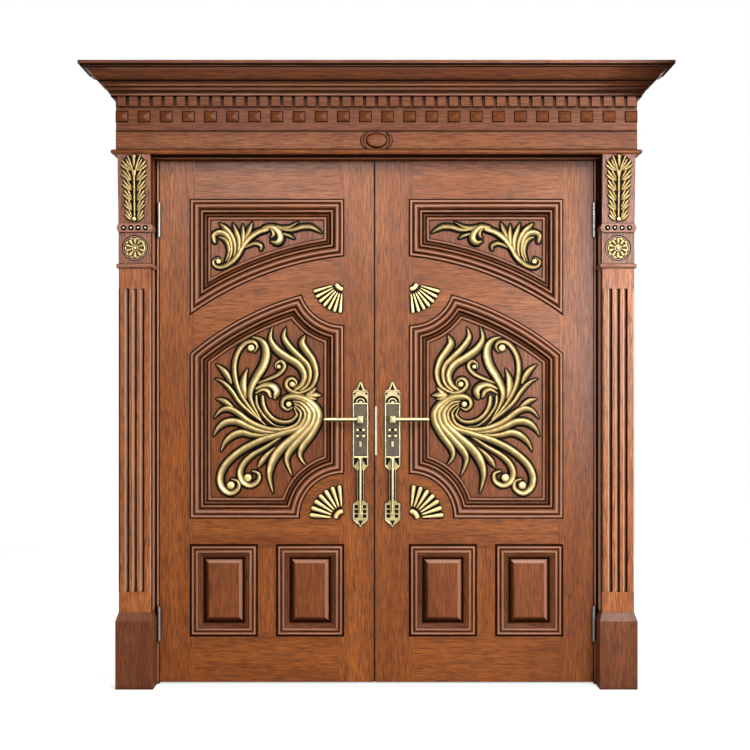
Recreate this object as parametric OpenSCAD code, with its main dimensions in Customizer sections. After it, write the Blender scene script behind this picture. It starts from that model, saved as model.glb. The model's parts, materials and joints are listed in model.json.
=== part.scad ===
// Carved double door in its frame: two panelled leaves between fluted pilasters under a
// cornice, with gilt carving, long lever handles and a mortise lock.
// Millimetres, front towards -Y, +Z up, origin on the floor at the middle of the set.

/* [Opening] */
// Clear width between the side jambs
opening_width = 1740; // [1720:1:1800]
// Height of each leaf
leaf_height = 2084; // [2070:1:2140]
// Leaf height that the rail and panel heights are drawn for
drawn_height = 2084; // [2084:1:2084]
// Thickness of each leaf
leaf_thickness = 50; // [48:1:60]
// Gap between a leaf and its side jamb
side_gap = 3; // [2.5:0.5:4]
// Gap between the leaves and the head jamb
head_gap = 3; // [2:0.5:5]
// Gap under the leaves
floor_gap = 8; // [5:1:15]
// Gap between the two leaves
meeting_gap = 4; // [3.5:0.5:5]
// Distance of the meeting gap from the centre line
meeting_offset = 8; // [0:1:10]

/* [Leaf framing] */
// Visible width of the stile on the hinge side
hinge_stile = 124; // [110:1:130]
// Distance from the centre line to the panels
centre_stile = 133; // [130:1:140]
// Visible height of the top rail
top_rail = 156; // [140:1:170]
// Visible height of the bottom rail
bottom_rail = 186; // [170:1:195]
// Height of the lower panels over their mouldings
lower_panel_height = 362; // [330:1:370]
// Visible height of the lock rail
lock_rail = 110; // [95:1:115]
// Visible width of the muntin between the lower panels
muntin = 80; // [70:1:95]
// Height of the upper panel at the hinge side
upper_tall = 454; // [430:1:480]
// Height of the upper panel at the meeting side
upper_short = 222; // [205:1:240]
// Visible width of the arched rail
arch_rail = 127; // [115:1:130]
// Height of the upper fan centre above the arch of the main panel
fan_lift = 24; // [16:1:30]
// Radius of the scooped corners of the main panel
scoop = 178; // [170:1:186]
// Width of wood that a moulding covers
lap = 15; // [12:1:16]
// Clearance between the back of a moulding and the edge of its opening
moulding_fit = 2; // [1.5:0.5:3]
// Clearance between a panel and its opening
panel_fit = 1; // [0.5:0.5:2]
// Thickness of the panels
panel_thickness = 24; // [18:1:26]
// Depth of the panel faces below the leaf face
panel_sink = 12; // [10:1:14]
// Height of the raised fields of the lower panels
field_rise = 8; // [4:1:12]
// Width of the bevel around a raised field
field_bevel = 18; // [12:1:22]

/* [Frame] */
// Depth of the jambs
jamb_depth = 150; // [130:1:180]
// Thickness of the jambs
jamb_thickness = 40; // [36:1:50]
// Width of the stop that the leaves close on
stop_width = 15; // [12:1:20]
// Clearance between a leaf and its stop
stop_gap = 3; // [2:0.5:5]
// Radius of the fixing holes
fixing_radius = 5; // [4:0.5:6]
// Distance of the fixing holes from the ends of the jamb
fixing_end = 300; // [250:10:400]
// Distance of the fixing holes from the back of the jamb
fixing_inset = 45; // [35:1:60]

/* [Pilasters] */
// Distance from the side jamb face to the pilaster middle
pilaster_offset = 81; // [80:0.5:90]
// Width of the shaft
shaft_width = 128; // [120:1:130]
// Depth of the shaft in front of the wall face
shaft_depth = 80; // [70:1:84]
// Width of the plinth block
plinth_width = 148; // [140:1:148]
// Depth of the plinth block
plinth_depth = 97; // [92:1:100]
// Height of the plinth block
plinth_height = 301; // [280:1:306]
// Height of the sloping top of the plinth block
plinth_slope = 33; // [20:1:40]
// Number of flutes
flutes = 3; // [1:1:3]
// Distance between flutes
flute_pitch = 30; // [28:0.5:32]
// Radius of a flute
flute_radius = 7.5; // [6:0.5:9]
// Plain height below and above the flutes
flute_end = 80; // [60:1:100]
// Width of collar and pearl band
collar_width = 142; // [136:1:142]
// Depth of collar and pearl band
collar_depth = 89; // [86:1:94]
// Height of the collar
collar_height = 18; // [14:1:22]
// Height of the rosette block
rosette_block = 124; // [118:1:130]
// Height of the pearl band
band_height = 33; // [28:1:36]
// Length of the points at the ends of the pearl band
band_point = 7; // [4:1:9]
// Radius of the rosette
rosette_radius = 42; // [36:1:44]
// Petals of the rosette
petals = 12; // [10:1:14]
// Width of the dark gap around the rosette
rosette_gap = 9; // [6:1:11]
// Depth of the seat of the rosette
rosette_seat = 7; // [5:1:9]
// Radius of a pearl
pearl_radius = 7; // [5:0.5:8]
// Distance between pearls
pearl_pitch = 28.5; // [26:0.5:30]
// Depth of the sockets of the pearls
pearl_seat = 2; // [1:0.5:3]
// Height of the console
console_height = 270; // [250:1:290]
// Depth of the console at its foot
console_foot = 84; // [80:1:88]
// Depth of the console at its head
console_head = 102; // [98:1:106]

/* [Entablature] */
// Clearance between the leaves and the base bead
bead_clearance = 8; // [5:1:12]
// Height of the base bead
bead_height = 19; // [16:1:24]
// Distance from the pilaster middle to the ends of fascia and frieze
beam_overhang = 73; // [70:1:100]
// Overhang of the base bead
bead_overhang = 17; // [14:1:22]
// Depth of the fascia
fascia_depth = 91; // [88:1:96]
// Height of the fascia
fascia_height = 74; // [68:1:80]
// Depth of the frieze
frieze_depth = 88; // [84:1:91]
// Height of the frieze up to the dentils
frieze_height = 95; // [90:1:105]
// Width of a pyramid stud
stud_width = 47; // [40:1:56]
// Height of a pyramid stud
stud_height = 39; // [32:1:44]
// Rise of a pyramid stud
stud_rise = 12; // [6:1:14]
// Number of studs
studs = 24; // [20:2:26]
// Number of dentils
dentils = 44; // [40:2:46]
// Width of a dentil
dentil_width = 33; // [28:1:36]
// Height of a dentil
dentil_height = 38; // [32:1:42]
// Projection of a dentil
dentil_reach = 14; // [10:1:15]
// Height of the crown
crown_height = 115; // [105:1:125]
// Projection of the crown beyond the frieze
crown_reach = 122; // [115:1:130]
// Width of the oval boss
boss_width = 80; // [70:1:90]
// Height of the oval boss
boss_height = 56; // [48:1:60]
// Rise of the oval boss
boss_rise = 15; // [10:1:20]

/* [Carving] */
// Panel width that the carving is drawn for
carving_panel = 610; // [600:1:640]
// Height at the hinge side that the main carving is drawn for
phoenix_side = 498; // [480:1:520]
// Height of the upper field that the scroll is drawn for, at the hinge side
scroll_tall = 298; // [290:1:310]
// Height of the upper field that the scroll is drawn for, at the meeting side
scroll_short = 66; // [60:1:72]
// Widening of the carved strokes
stroke_swell = 1.17; // [1:0.01:1.25]
// Rise of the main carving
carving_rise = 19; // [14:1:24]
// Rise of the upper scroll
scroll_rise = 16; // [12:1:20]
// Rise of the acanthus leaf
acanthus_rise = 15; // [10:1:18]
// Radius of the upper fan
upper_fan = 126; // [116:1:130]
// Radius of the lower fan
lower_fan = 136; // [126:1:140]
// Ribs of a fan
fan_ribs = 7; // [5:1:9]
// Rise of a fan
fan_rise = 10; // [7:1:14]

/* [Hinges] */
// Height of a hinge
hinge_height = 130; // [110:1:140]
// Distance from the top of the leaf to the top hinge
hinge_from_top = 236; // [200:1:260]
// Height of the bottom hinge
hinge_from_floor = 242; // [220:1:260]
// Radius of the hinge barrel
barrel_radius = 6.5; // [5.5:0.25:6.5]
// Distance from the leaf face to the hinge axis
barrel_proud = 7.2; // [7:0.1:8]
// Radius of the hinge pin
pin_radius = 3.5; // [3:0.25:4]
// Running clearance of the hinge pin
pin_clearance = 0.06; // [0.03:0.01:0.1]
// Gap between hinge knuckles
knuckle_gap = 0.6; // [0.4:0.1:1]
// Thickness of the hinge plates
plate_thickness = 2.5; // [2:0.25:3]
// Depth of the hinge plates in the wood
plate_depth = 36; // [30:1:42]

/* [Handles and lock] */
// Height of the levers
lever_height = 1059; // [1040:1:1080]
// Distance from the centre line to the levers
lever_offset = 64; // [60:1:68]
// Length of a lever
lever_length = 148; // [130:1:155]
// Radius of a lever at its root
lever_radius = 7.5; // [6:0.5:8]
// Distance from the plate to the lever
lever_stand = 42; // [36:1:48]
// Half width of the handle plate
handle_half = 31; // [29:0.5:33]
// Thickness of the handle plate
handle_thickness = 7; // [6:0.5:9]
// Depth of the sunk field of the handle plate
handle_sink = 2; // [1:0.5:3]
// Half width of the narrow part of the handle plate
neck_half = 13; // [11:0.5:16]
// Radius of the pull
pull_radius = 6; // [5:0.5:8]
// Distance from the plate to the pull
pull_stand = 34; // [30:1:42]
// Radius of the neck of a lever
lever_neck = 8.5; // [7:0.5:9]
// Clearance around the neck of a lever
lever_clearance = 0.4; // [0.3:0.1:0.8]
// Side of the square spindle
spindle = 8; // [7:0.5:9]
// Distance from the lever axis to the key axis
key_drop = 72; // [68:1:76]
// Radius of the key cylinder
key_radius = 8.5; // [8:0.25:9]
// Thickness of the inner plates
inner_thickness = 5; // [4:0.5:7]
// Thickness of the lock case
case_thickness = 16; // [14:0.5:18]
// Depth of the lock case
case_depth = 92; // [86:1:98]
// Height of the lock case
case_height = 176; // [166:1:184]
// Thickness of the forend and the strike
forend_thickness = 2; // [1.5:0.25:3]
// Width of the forend lip on the front
forend_lip = 8; // [6:0.5:10]
// Length of the forend
forend_length = 194; // [186:1:210]
// Thickness of latch and deadbolt
bolt_thickness = 11; // [9:0.5:12]
// Height of the latch
latch_height = 28; // [22:1:32]
// Height of the deadbolt
deadbolt_height = 34; // [28:1:38]
// Reach of the latch into the other leaf
latch_reach = 10; // [8:0.5:12]
// Travel of the deadbolt
deadbolt_travel = 20; // [16:1:24]
// Clearance around the bolts
bolt_clearance = 0.4; // [0.3:0.1:0.8]

/* [Hidden] */
$fn = 48;

wood = [0.45, 0.22, 0.13];
panel_wood = [0.52, 0.26, 0.16];
dark_wood = [0.36, 0.17, 0.10];
gilt = [0.80, 0.65, 0.30];
brass = [0.78, 0.68, 0.38];
steel = [0.75, 0.74, 0.70];

small = 0.01;
over = 1;
half_opening = opening_width / 2;
leaf_foot = floor_gap;
leaf_top = floor_gap + leaf_height;
head_foot = leaf_top + head_gap;
bead_foot = leaf_top + bead_clearance;
fascia_foot = bead_foot + bead_height;
frieze_foot = fascia_foot + fascia_height;
dentil_foot = frieze_foot + frieze_height;
crown_foot = dentil_foot + dentil_height;
front_reach = frieze_depth + crown_reach;
wall_y = (front_reach - jamb_depth) / 2;

hinge_edge = -(half_opening - side_gap);
left_edge = -(meeting_offset + meeting_gap / 2);
right_edge = meeting_offset - meeting_gap / 2;
panel_left = hinge_edge + hinge_stile;
panel_right = -centre_stile;
leaf_ratio = leaf_height / drawn_height;
upper_side = upper_tall * leaf_ratio;
panel_top = leaf_top - top_rail * leaf_ratio;
lower_foot = leaf_foot + bottom_rail * leaf_ratio;
lower_top = lower_foot + lower_panel_height * leaf_ratio;
main_foot = lower_top + lock_rail * leaf_ratio;
arch_sides = [panel_top - upper_side, panel_top - upper_short];
arch_height = (
    panel_right * panel_right + arch_sides[1] * arch_sides[1]
    - panel_left * panel_left - arch_sides[0] * arch_sides[0]
) / (2 * (arch_sides[1] - arch_sides[0]));
arch_radius = norm([panel_left, arch_sides[0] - arch_height]);
main_radius = arch_radius - arch_rail;
main_side = arch_height + sqrt(main_radius * main_radius - panel_left * panel_left) - main_foot;
fan_height = arch_height + sqrt(main_radius * main_radius - panel_right * panel_right) + fan_lift;
scoop_x = panel_right;
lower_middle = (panel_left + panel_right) / 2;
panel_back = panel_sink + panel_thickness;
mid_rail = (main_foot + fan_height) / 2;

pilaster_x = half_opening + pilaster_offset;
beam_half = pilaster_x + beam_overhang;
console_base = bead_foot - console_height;
band_foot = console_base - band_height;
capital_foot = band_foot - rosette_block;
shaft_top = capital_foot - collar_height;

hinge_x = -(half_opening - side_gap / 2);
hinge_y = wall_y - barrel_proud;
hinge_rows = [hinge_from_floor, leaf_top - hinge_from_top];
knuckle = (hinge_height - 4 * knuckle_gap) / 5;

key_height = lever_height - key_drop;
case_middle = lever_height - 46;
case_y = leaf_thickness / 2;
pull_top = -180;
pull_foot = -368;

moulding_width = 78;
carving_width = panel_right - panel_left - 2 * moulding_width;
carving_drawn = carving_panel - 2 * moulding_width;
phoenix_scale = min(carving_width / carving_drawn, (main_side - 2 * moulding_width) / phoenix_side);
phoenix_eye = [
    panel_right - moulding_width - 140 * phoenix_scale,
    main_foot + moulding_width + 374 * phoenix_scale
];
scroll_scale = min(
    carving_width / carving_drawn,
    (upper_side - 2 * moulding_width) / scroll_tall,
    (upper_short - 2 * moulding_width) / scroll_short
);
scroll_eye = [
    panel_left + moulding_width + 33 * scroll_scale,
    panel_top - moulding_width - 167 * scroll_scale
];

// Front elevation drawing (across, up, out of the wall face) stood upright
module stand() {
    translate([0, wall_y, 0])
        rotate([90, 0, 0])
            children();
}

module other_side() {
    mirror([1, 0, 0])
        children();
}

module both_sides() {
    children();
    other_side()
        children();
}

// Box from its limits across, up and out
module block(x, z, h) {
    translate([x[0], z[0], h[0]])
        cube([x[1] - x[0], z[1] - z[0], h[1] - h[0]]);
}

// Profile of [out, up] points run along the wall
module along_wall(length) {
    rotate([0, -90, 0])
        linear_extrude(height = length, center = true)
            children();
}

// Moulding of [overhang, up] steps run along the front and mitred round both ends
module returned(steps, depth, half) {
    last = len(steps) - 1;
    reach = max([for (s = steps) s[0]]);
    intersection() {
        along_wall(2 * (half + reach + over))
            polygon(concat(
                [[0, steps[0][1]]],
                [for (s = steps) [depth + s[0], s[1]]],
                [[0, steps[last][1]]]
            ));
        linear_extrude(height = depth + reach + over)
            polygon(concat(
                [for (s = steps) [half + s[0], s[1]]],
                [for (i = [last : -1 : 0]) [-half - steps[i][0], steps[i][1]]]
            ));
    }
}

function arc(centre, r, a, b, n) = [
    for (i = [0 : n])
        centre + r * [cos(a + (b - a) * i / n), sin(a + (b - a) * i / n)]
];

// Panel outlines: the edge of the mouldings moved inwards by d
function upper_path(d, n) = let (
    x0 = panel_left + d,
    x1 = panel_right - d,
    r = arch_radius + d,
    a0 = acos(x0 / r),
    a1 = acos(x1 / r)
) concat(
    [[x0, panel_top - d], [x1, panel_top - d]],
    arc([0, arch_height], r, a1, a0, n)
);

// Where the arch and the upper scoop of the main panel cross
function arch_scoop(d) = let (
    r0 = main_radius - d,
    r1 = scoop + d,
    c = [scoop_x, fan_height - arch_height],
    q = norm(c),
    m = (r0 * r0 - r1 * r1 + q * q) / (2 * q),
    k = sqrt(r0 * r0 - m * m)
) [0, arch_height] + m * c / q + k * [-c[1], c[0]] / q;

function angle_at(p, c) = atan2(p[1] - c[1], p[0] - c[0]);

function main_path(d, n) = let (
    x0 = panel_left + d,
    x1 = panel_right - d,
    z0 = main_foot + d,
    r0 = main_radius - d,
    r1 = scoop + d,
    peak = arch_scoop(d),
    hub = [scoop_x, fan_height],
    low = [scoop_x, main_foot],
    p0 = [x0, arch_height + sqrt(r0 * r0 - x0 * x0)],
    p2 = [x1, fan_height - sqrt(r1 * r1 - pow(x1 - scoop_x, 2))],
    p3 = [x1, main_foot + sqrt(r1 * r1 - pow(x1 - scoop_x, 2))],
    p4 = [scoop_x - sqrt(r1 * r1 - d * d), z0],
    arch = arc([0, arch_height], r0, angle_at(p0, [0, arch_height]), angle_at(peak, [0, arch_height]),
        n + 2),
    top = arc(hub, r1, angle_at(peak, hub) + 360, angle_at(p2, hub) + 360, n),
    foot = arc(low, r1, angle_at(p3, low), angle_at(p4, low), n)
) concat(
    arch,
    [for (i = [1 : n]) top[i]],
    foot,
    [[x0, z0]]
);

function lower_path(d, side) = let (
    x0 = (side == 0 ? panel_left : lower_middle + muntin / 2) + d,
    x1 = (side == 0 ? lower_middle - muntin / 2 : panel_right) - d
) [
    [x0, lower_top - d],
    [x1, lower_top - d],
    [x1, lower_foot + d],
    [x0, lower_foot + d]
];

// Closed moulding: a profile of [inwards, out] points and one path for each of them
module ring(paths, heights) {
    rows = len(paths);
    n = len(paths[0]);
    points = [for (r = [0 : rows - 1]) for (p = paths[r]) [p[0], p[1], heights[r]]];
    faces = [
        for (r = [0 : rows - 1])
            for (i = [0 : n - 1])
                for (t = [0, 1])
                    let (
                        s = (r + 1) % rows,
                        j = (i + 1) % n
                    )
                    t == 0
                        ? [r * n + i, r * n + j, s * n + j]
                        : [r * n + i, s * n + j, s * n + i]
    ];
    polyhedron(points = points, faces = faces);
}

front_profile = [
    [0, 0], [1, 7], [7, 8], [10, 3], [15, 11], [23, 14], [31, 11], [38, 3],
    [46, 4], [62, -8], [69, -4], [moulding_width - 1, -7], [moulding_width, -panel_sink],
    [lap + moulding_fit, -panel_sink], [lap + moulding_fit, 0]
];
lower_profile = [
    [0, 0], [1, 7], [6, 7], [9, 2], [14, 10], [22, 11], [28, 4],
    [38, 3], [50, -9], [53, -panel_sink], [lap + moulding_fit, -panel_sink], [lap + moulding_fit, 0]
];
back_gap = leaf_thickness - panel_back;
back_profile = [
    [0, 0], [2, 7], [12, 8], [24, 1], [38, -back_gap], [lap + moulding_fit, -back_gap],
    [lap + moulding_fit, 0]
];

module leaf_mouldings(profile, low, steps) {
    heights = [for (p = profile) p[1]];
    low_heights = [for (p = low) p[1]];
    ring([for (p = profile) upper_path(p[0], steps + 3)], heights);
    ring([for (p = profile) main_path(p[0], steps)], heights);
    for (side = [0, 1])
        ring([for (p = low) lower_path(p[0], side)], low_heights);
}

// Exact panel openings, moved inwards by d
module upper_opening(d) {
    difference() {
        translate([panel_left + d, arch_height + main_radius * 0.6])
            square([panel_right - panel_left - 2 * d, panel_top - d - arch_height - main_radius * 0.6]);
        translate([0, arch_height])
            circle(r = arch_radius + d, $fn = 180);
    }
}

module main_opening(d) {
    difference() {
        intersection() {
            translate([panel_left + d, main_foot + d])
                square([panel_right - panel_left - 2 * d, panel_top - main_foot]);
            translate([0, arch_height])
                circle(r = main_radius - d, $fn = 180);
        }
        translate([scoop_x, fan_height])
            circle(r = scoop + d, $fn = 96);
        translate([scoop_x, main_foot])
            circle(r = scoop + d, $fn = 96);
    }
}

function lower_x(side) = side == 0
    ? [panel_left, lower_middle - muntin / 2]
    : [lower_middle + muntin / 2, panel_right];

// Recess for a hinge plate in the edge of a stile or a jamb
module hinge_recess(x) {
    for (z = hinge_rows)
        block(x, [z - hinge_height / 2, z + hinge_height / 2], [-plate_depth, over]);
}

// Bore through a leaf across its face
module leaf_bore(x, z, r) {
    translate([x, z, -leaf_thickness - over])
        cylinder(r = r, h = leaf_thickness + 2 * over);
}

module hinge_stile_wood() {
    difference() {
        block([hinge_edge, panel_left + lap], [leaf_foot, leaf_top], [-leaf_thickness, 0]);
        hinge_recess([hinge_edge - over, hinge_edge + plate_thickness]);
    }
}

// Length of the pocket for a bolt in the other leaf
pocket_depth = deadbolt_travel + 8;
pocket_z = [key_height - deadbolt_height / 2 - 3, lever_height + latch_height / 2 + 3];

module meeting_stile_wood(edge, locked) {
    difference() {
        block([panel_right - lap, edge], [leaf_foot, leaf_top], [-leaf_thickness, 0]);
        leaf_bore(-lever_offset, lever_height, lever_neck + lever_clearance);
        if (locked) {
            leaf_bore(-lever_offset, key_height, key_radius + bolt_clearance);
            block(
                [edge - forend_thickness - case_depth - 2, edge + over],
                [case_middle - case_height / 2 - 1, case_middle + case_height / 2 + 1],
                [-case_y - case_thickness / 2 - 0.5, -case_y + case_thickness / 2 + 0.5]
            );
            block(
                [edge - forend_thickness, edge + over],
                [case_middle - forend_length / 2, case_middle + forend_length / 2],
                [-case_y - 14, over]
            );
        } else {
            block(
                [edge - forend_thickness, edge + over],
                [case_middle - forend_length / 2, case_middle + forend_length / 2],
                [-case_y - 12, -case_y + 12]
            );
            block(
                [edge - pocket_depth, edge + over],
                pocket_z,
                [-case_y - bolt_thickness / 2 - 2, -case_y + bolt_thickness / 2 + 2]
            );
        }
    }
}

module leaf_stiles(edge, locked) {
    color(wood) {
        hinge_stile_wood();
        meeting_stile_wood(edge, locked);
        block(
            [lower_middle - muntin / 2 - lap, lower_middle + muntin / 2 + lap],
            [lower_foot + lap, lower_top - lap],
            [-leaf_thickness, 0]
        );
    }
}

module rail(z0, z1) {
    translate([panel_left + lap, z0])
        square([panel_right - panel_left - 2 * lap, z1 - z0]);
}

module leaf_rails() {
    color(wood)
        translate([0, 0, -leaf_thickness]) {
            linear_extrude(height = leaf_thickness)
                rail(panel_top - lap, leaf_top);
            linear_extrude(height = leaf_thickness)
                difference() {
                    rail(mid_rail, panel_top - lap);
                    upper_opening(lap);
                    main_opening(lap);
                }
            linear_extrude(height = leaf_thickness)
                difference() {
                    rail(lower_top - lap, mid_rail);
                    main_opening(lap);
                }
            linear_extrude(height = leaf_thickness)
                rail(leaf_foot, lower_foot + lap);
        }
}

module upper_panel() {
    color(panel_wood)
        translate([0, 0, -panel_back])
            linear_extrude(height = panel_thickness)
                upper_opening(lap + panel_fit);
}

module main_panel() {
    color(panel_wood)
        translate([0, 0, -panel_back])
            linear_extrude(height = panel_thickness)
                main_opening(lap + panel_fit);
}

// Raised field: a low frustum on a lower panel
module raised_field(x, z, foot, rise, bevel) {
    polyhedron(
        points = [
            [x[0], z[0], foot], [x[1], z[0], foot], [x[1], z[1], foot], [x[0], z[1], foot],
            [x[0] + bevel, z[0] + bevel, foot + rise], [x[1] - bevel, z[0] + bevel, foot + rise],
            [x[1] - bevel, z[1] - bevel, foot + rise], [x[0] + bevel, z[1] - bevel, foot + rise]
        ],
        faces = [
            [0, 1, 2, 3], [7, 6, 5, 4], [0, 4, 5, 1], [1, 5, 6, 2], [2, 6, 7, 3], [3, 7, 4, 0]
        ]
    );
}

module lower_panels() {
    edge = lap + panel_fit;
    field = 56;
    color(panel_wood)
        for (side = [0, 1]) {
            x = lower_x(side);
            union() {
                block(
                    [x[0] + edge, x[1] - edge],
                    [lower_foot + edge, lower_top - edge],
                    [-panel_back, -panel_sink]
                );
                raised_field(
                    [x[0] + field, x[1] - field],
                    [lower_foot + field, lower_top - field],
                    -panel_sink - over,
                    field_rise + over,
                    field_bevel
                );
            }
        }
}

// Carved strokes: [points from root to tip, widths at root, belly and tip, place of the belly]
phoenix_strokes = [
    // Crest plumes, inner to outer
    [[[26, 61], [51, 81], [61, 118], [38, 159], [-13, 191], [-53, 223], [-75, 265], [-66, 311]],
        [14, 31, 2], 0.62],
    [[[45, 56], [73, 80], [84, 118], [75, 156], [45, 188], [3, 230], [-21, 271], [-12, 308]],
        [10, 25, 2], 0.75],
    [[[64, 53], [96, 78], [109, 124], [96, 175], [72, 210], [52, 244], [62, 273]], [10, 29, 9], 0.78],
    // Crest scroll
    [[[80, 61], [45, 45], [10, 52], [-11, 73], [-7, 96], [14, 105], [31, 89], [22, 68]], [10, 17, 6],
        0.4],
    // Bud
    [[[68, 38], [89, 49], [110, 69]], [7, 18, 2], 0.5],
    [[[68, 37], [99, 39], [130, 37]], [9, 24, 2], 0.5],
    [[[68, 35], [89, 27], [112, 21]], [7, 18, 2], 0.5],
    // Neck ribs that run on into the tail feathers
    [
        [
            [11, -14], [-8, -22], [-27, -5], [-21, 22], [8, 35], [51, 31], [92, 8],
            [120, -27], [120, -67], [92, -121], [54, -172], [46, -208], [68, -243]
        ],
        [8, 27, 2], 0.78
    ],
    [
        [
            [-5, 21], [22, 27], [61, 18], [91, -10], [105, -39],
            [94, -83], [51, -134], [8, -182], [-8, -223], [13, -286]
        ],
        [6, 29, 2], 0.75
    ],
    [
        [
            [18, 13], [49, 8], [75, -16], [85, -42], [72, -83],
            [26, -128], [-29, -176], [-64, -227], [-77, -284], [-63, -354]
        ],
        [6, 34, 2], 0.72
    ],
    // Neck rib that ends in the great scroll
    [
        [
            [22, 4], [46, -6], [65, -30], [65, -58], [38, -96], [-29, -118], [-112, -144], [-191, -185],
            [-249, -236], [-274, -287], [-267, -332], [-235, -354], [-204, -337], [-204, -310],
            [-228, -300]
        ],
        [6, 28, 9], 0.6
    ],
    // Neck ribs that end in the first side plume and in the inner stem
    [
        [
            [25, -6], [41, -21], [49, -39], [35, -77], [-10, -99], [-67, -101],
            [-118, -88], [-163, -66], [-201, -37], [-236, -18], [-271, -24], [-299, -55]
        ],
        [6, 24, 2], 0.8
    ],
    [
        [[22, -13], [30, -32], [32, -45], [10, -66], [-22, -71], [-57, -61], [-86, -35], [-102, -3],
            [-106, 29]],
        [5, 17, 15], 0.8
    ],
    // Outer stem
    [[[-16, -90], [-54, -85], [-89, -59], [-115, -26], [-129, 2], [-131, 32]], [4, 12, 11], 0.7],
    // Second and third side plume
    [
        [[-13, -108], [-64, -113], [-115, -107], [-163, -90], [-207, -70], [-249, -71], [-281, -93],
            [-302, -126]],
        [5, 28, 2], 0.68
    ],
    [[[-54, -118], [-105, -125], [-150, -122], [-188, -113], [-225, -125], [-255, -153],
        [-272, -188]], [5, 27, 2], 0.6],
    // Small scroll and the leaf beside it
    [
        [
            [3, -110], [-41, -137], [-92, -171], [-143, -201], [-179, -235], [-195, -274],
            [-183, -310], [-153, -323], [-124, -306], [-121, -279], [-143, -268]
        ],
        [4, 25, 10], 0.52
    ],
    [[[-53, -171], [-83, -198], [-107, -227], [-124, -255]], [4, 22, 2], 0.65],
    // Curl stem
    [
        [
            [-92, -88], [-131, -45], [-169, 2], [-198, 51], [-215, 105], [-218, 163],
            [-203, 212], [-174, 246], [-142, 252], [-126, 232], [-137, 212]
        ],
        [5, 21, 8], 0.5
    ],
    // Broad ribbon
    [
        [
            [-112, -62], [-143, -6], [-156, 32], [-150, 70], [-129, 112],
            [-104, 153], [-91, 198], [-97, 236], [-116, 259], [-145, 269]
        ],
        [6, 34, 6], 0.62
    ],
    // Leaves on the left
    [[[-171, 19], [-179, 48], [-183, 77], [-178, 112], [-166, 143]], [3, 29, 2], 0.5],
    [[[-233, 88], [-247, 116], [-265, 139], [-291, 160]], [12, 25, 2], 0.45],
    [
        [[-80, -99], [-115, -64], [-158, -30], [-198, 8], [-223, 45], [-246, 73], [-269, 92],
            [-294, 103]],
        [5, 18, 2], 0.66
    ],
    [[[-223, -14], [-244, 3], [-266, 16], [-291, 22]], [8, 22, 2], 0.5],
    // Tendril and shell cap
    [[[-126, 86], [-91, 99], [-53, 115], [-28, 134], [-18, 156], [-32, 172], [-50, 162], [-51, 145]],
        [7, 17, 8], 0.42],
    [[[-132, 64], [-100, 79], [-67, 76], [-48, 54], [-54, 30]], [10, 29, 17], 0.75],
    [[[-132, 46], [-106, 61], [-83, 54], [-73, 33]], [8, 19, 13], 0.7]
];

// Round eyes of the scrolls: [place, radius]
phoenix_eyes = [
    [[14, 81], 12],
    [[0, 1], 12],
    [[-232, -323], 17],
    [[-164, -293], 17],
    [[-151, 226], 15],
    [[-40, 151], 9]
];

scroll_strokes = [
    // Stem with its volute
    [
        [[-2, 14], [-21, 0], [-12, -19], [15, -22], [46, -6], [72, 20], [91, 54], [118, 90],
            [155, 117], [191, 129]],
        [7, 25, 22], 0.78
    ],
    // Hook and the leaf in it
    [[[182, 135], [216, 139], [242, 116], [248, 90], [233, 74], [209, 80]], [18, 29, 4], 0.62],
    [[[197, 139], [216, 124], [220, 105], [209, 96]], [8, 15, 4], 0.6],
    // Tail
    [[[223, 145], [252, 136], [283, 139], [317, 157]], [8, 15, 2], 0.5],
    [[[237, 136], [265, 128], [298, 128], [332, 138], [366, 139], [390, 129], [410, 116]], [8, 21, 2],
        0.6],
    [[[256, 112], [280, 105], [301, 93]], [8, 13, 3], 0.45],
    // Leaves, left to right
    [[[35, -3], [49, 35], [45, 78], [27, 107], [2, 115], [-19, 103], [-16, 80]], [6, 25, 15], 0.62],
    [[[28, 2], [40, 38], [35, 72], [20, 90], [3, 96]], [5, 17, 8], 0.5],
    [[[54, 5], [64, 41], [60, 80], [42, 115], [21, 136], [4, 152]], [5, 24, 2], 0.7],
    [[[69, 14], [79, 50], [79, 87], [69, 119], [57, 152]], [5, 23, 2], 0.65],
    [[[84, 32], [93, 66], [97, 103], [96, 147]], [5, 20, 2], 0.68],
    [[[101, 84], [113, 107], [124, 130], [133, 155]], [6, 20, 2], 0.6],
    // Branch
    [[[93, 50], [121, 65], [148, 73], [170, 63], [169, 48]], [6, 16, 8], 0.6]
];

scroll_eyes = [[[0, 0], 11]];

function curve_point(a, b, c, d, t) = 0.5 * (
    2 * b + (c - a) * t + (2 * a - 5 * b + 4 * c - d) * t * t + (3 * b - a - 3 * c + d) * t * t * t
);

function curve(p, n) = [
    for (i = [0 : n])
        let (
            last = len(p) - 1,
            s = i / n * last,
            k = min(floor(s), last - 1)
        )
        curve_point(p[max(k - 1, 0)], p[k], p[k + 1], p[min(k + 2, last)], s - k)
];

function swell(w, b, t) = t < b
    ? w[0] + (w[1] - w[0]) * sin(90 * t / b)
    : w[2] + (w[1] - w[2]) * cos(90 * (t - b) / (1 - b));

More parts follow.
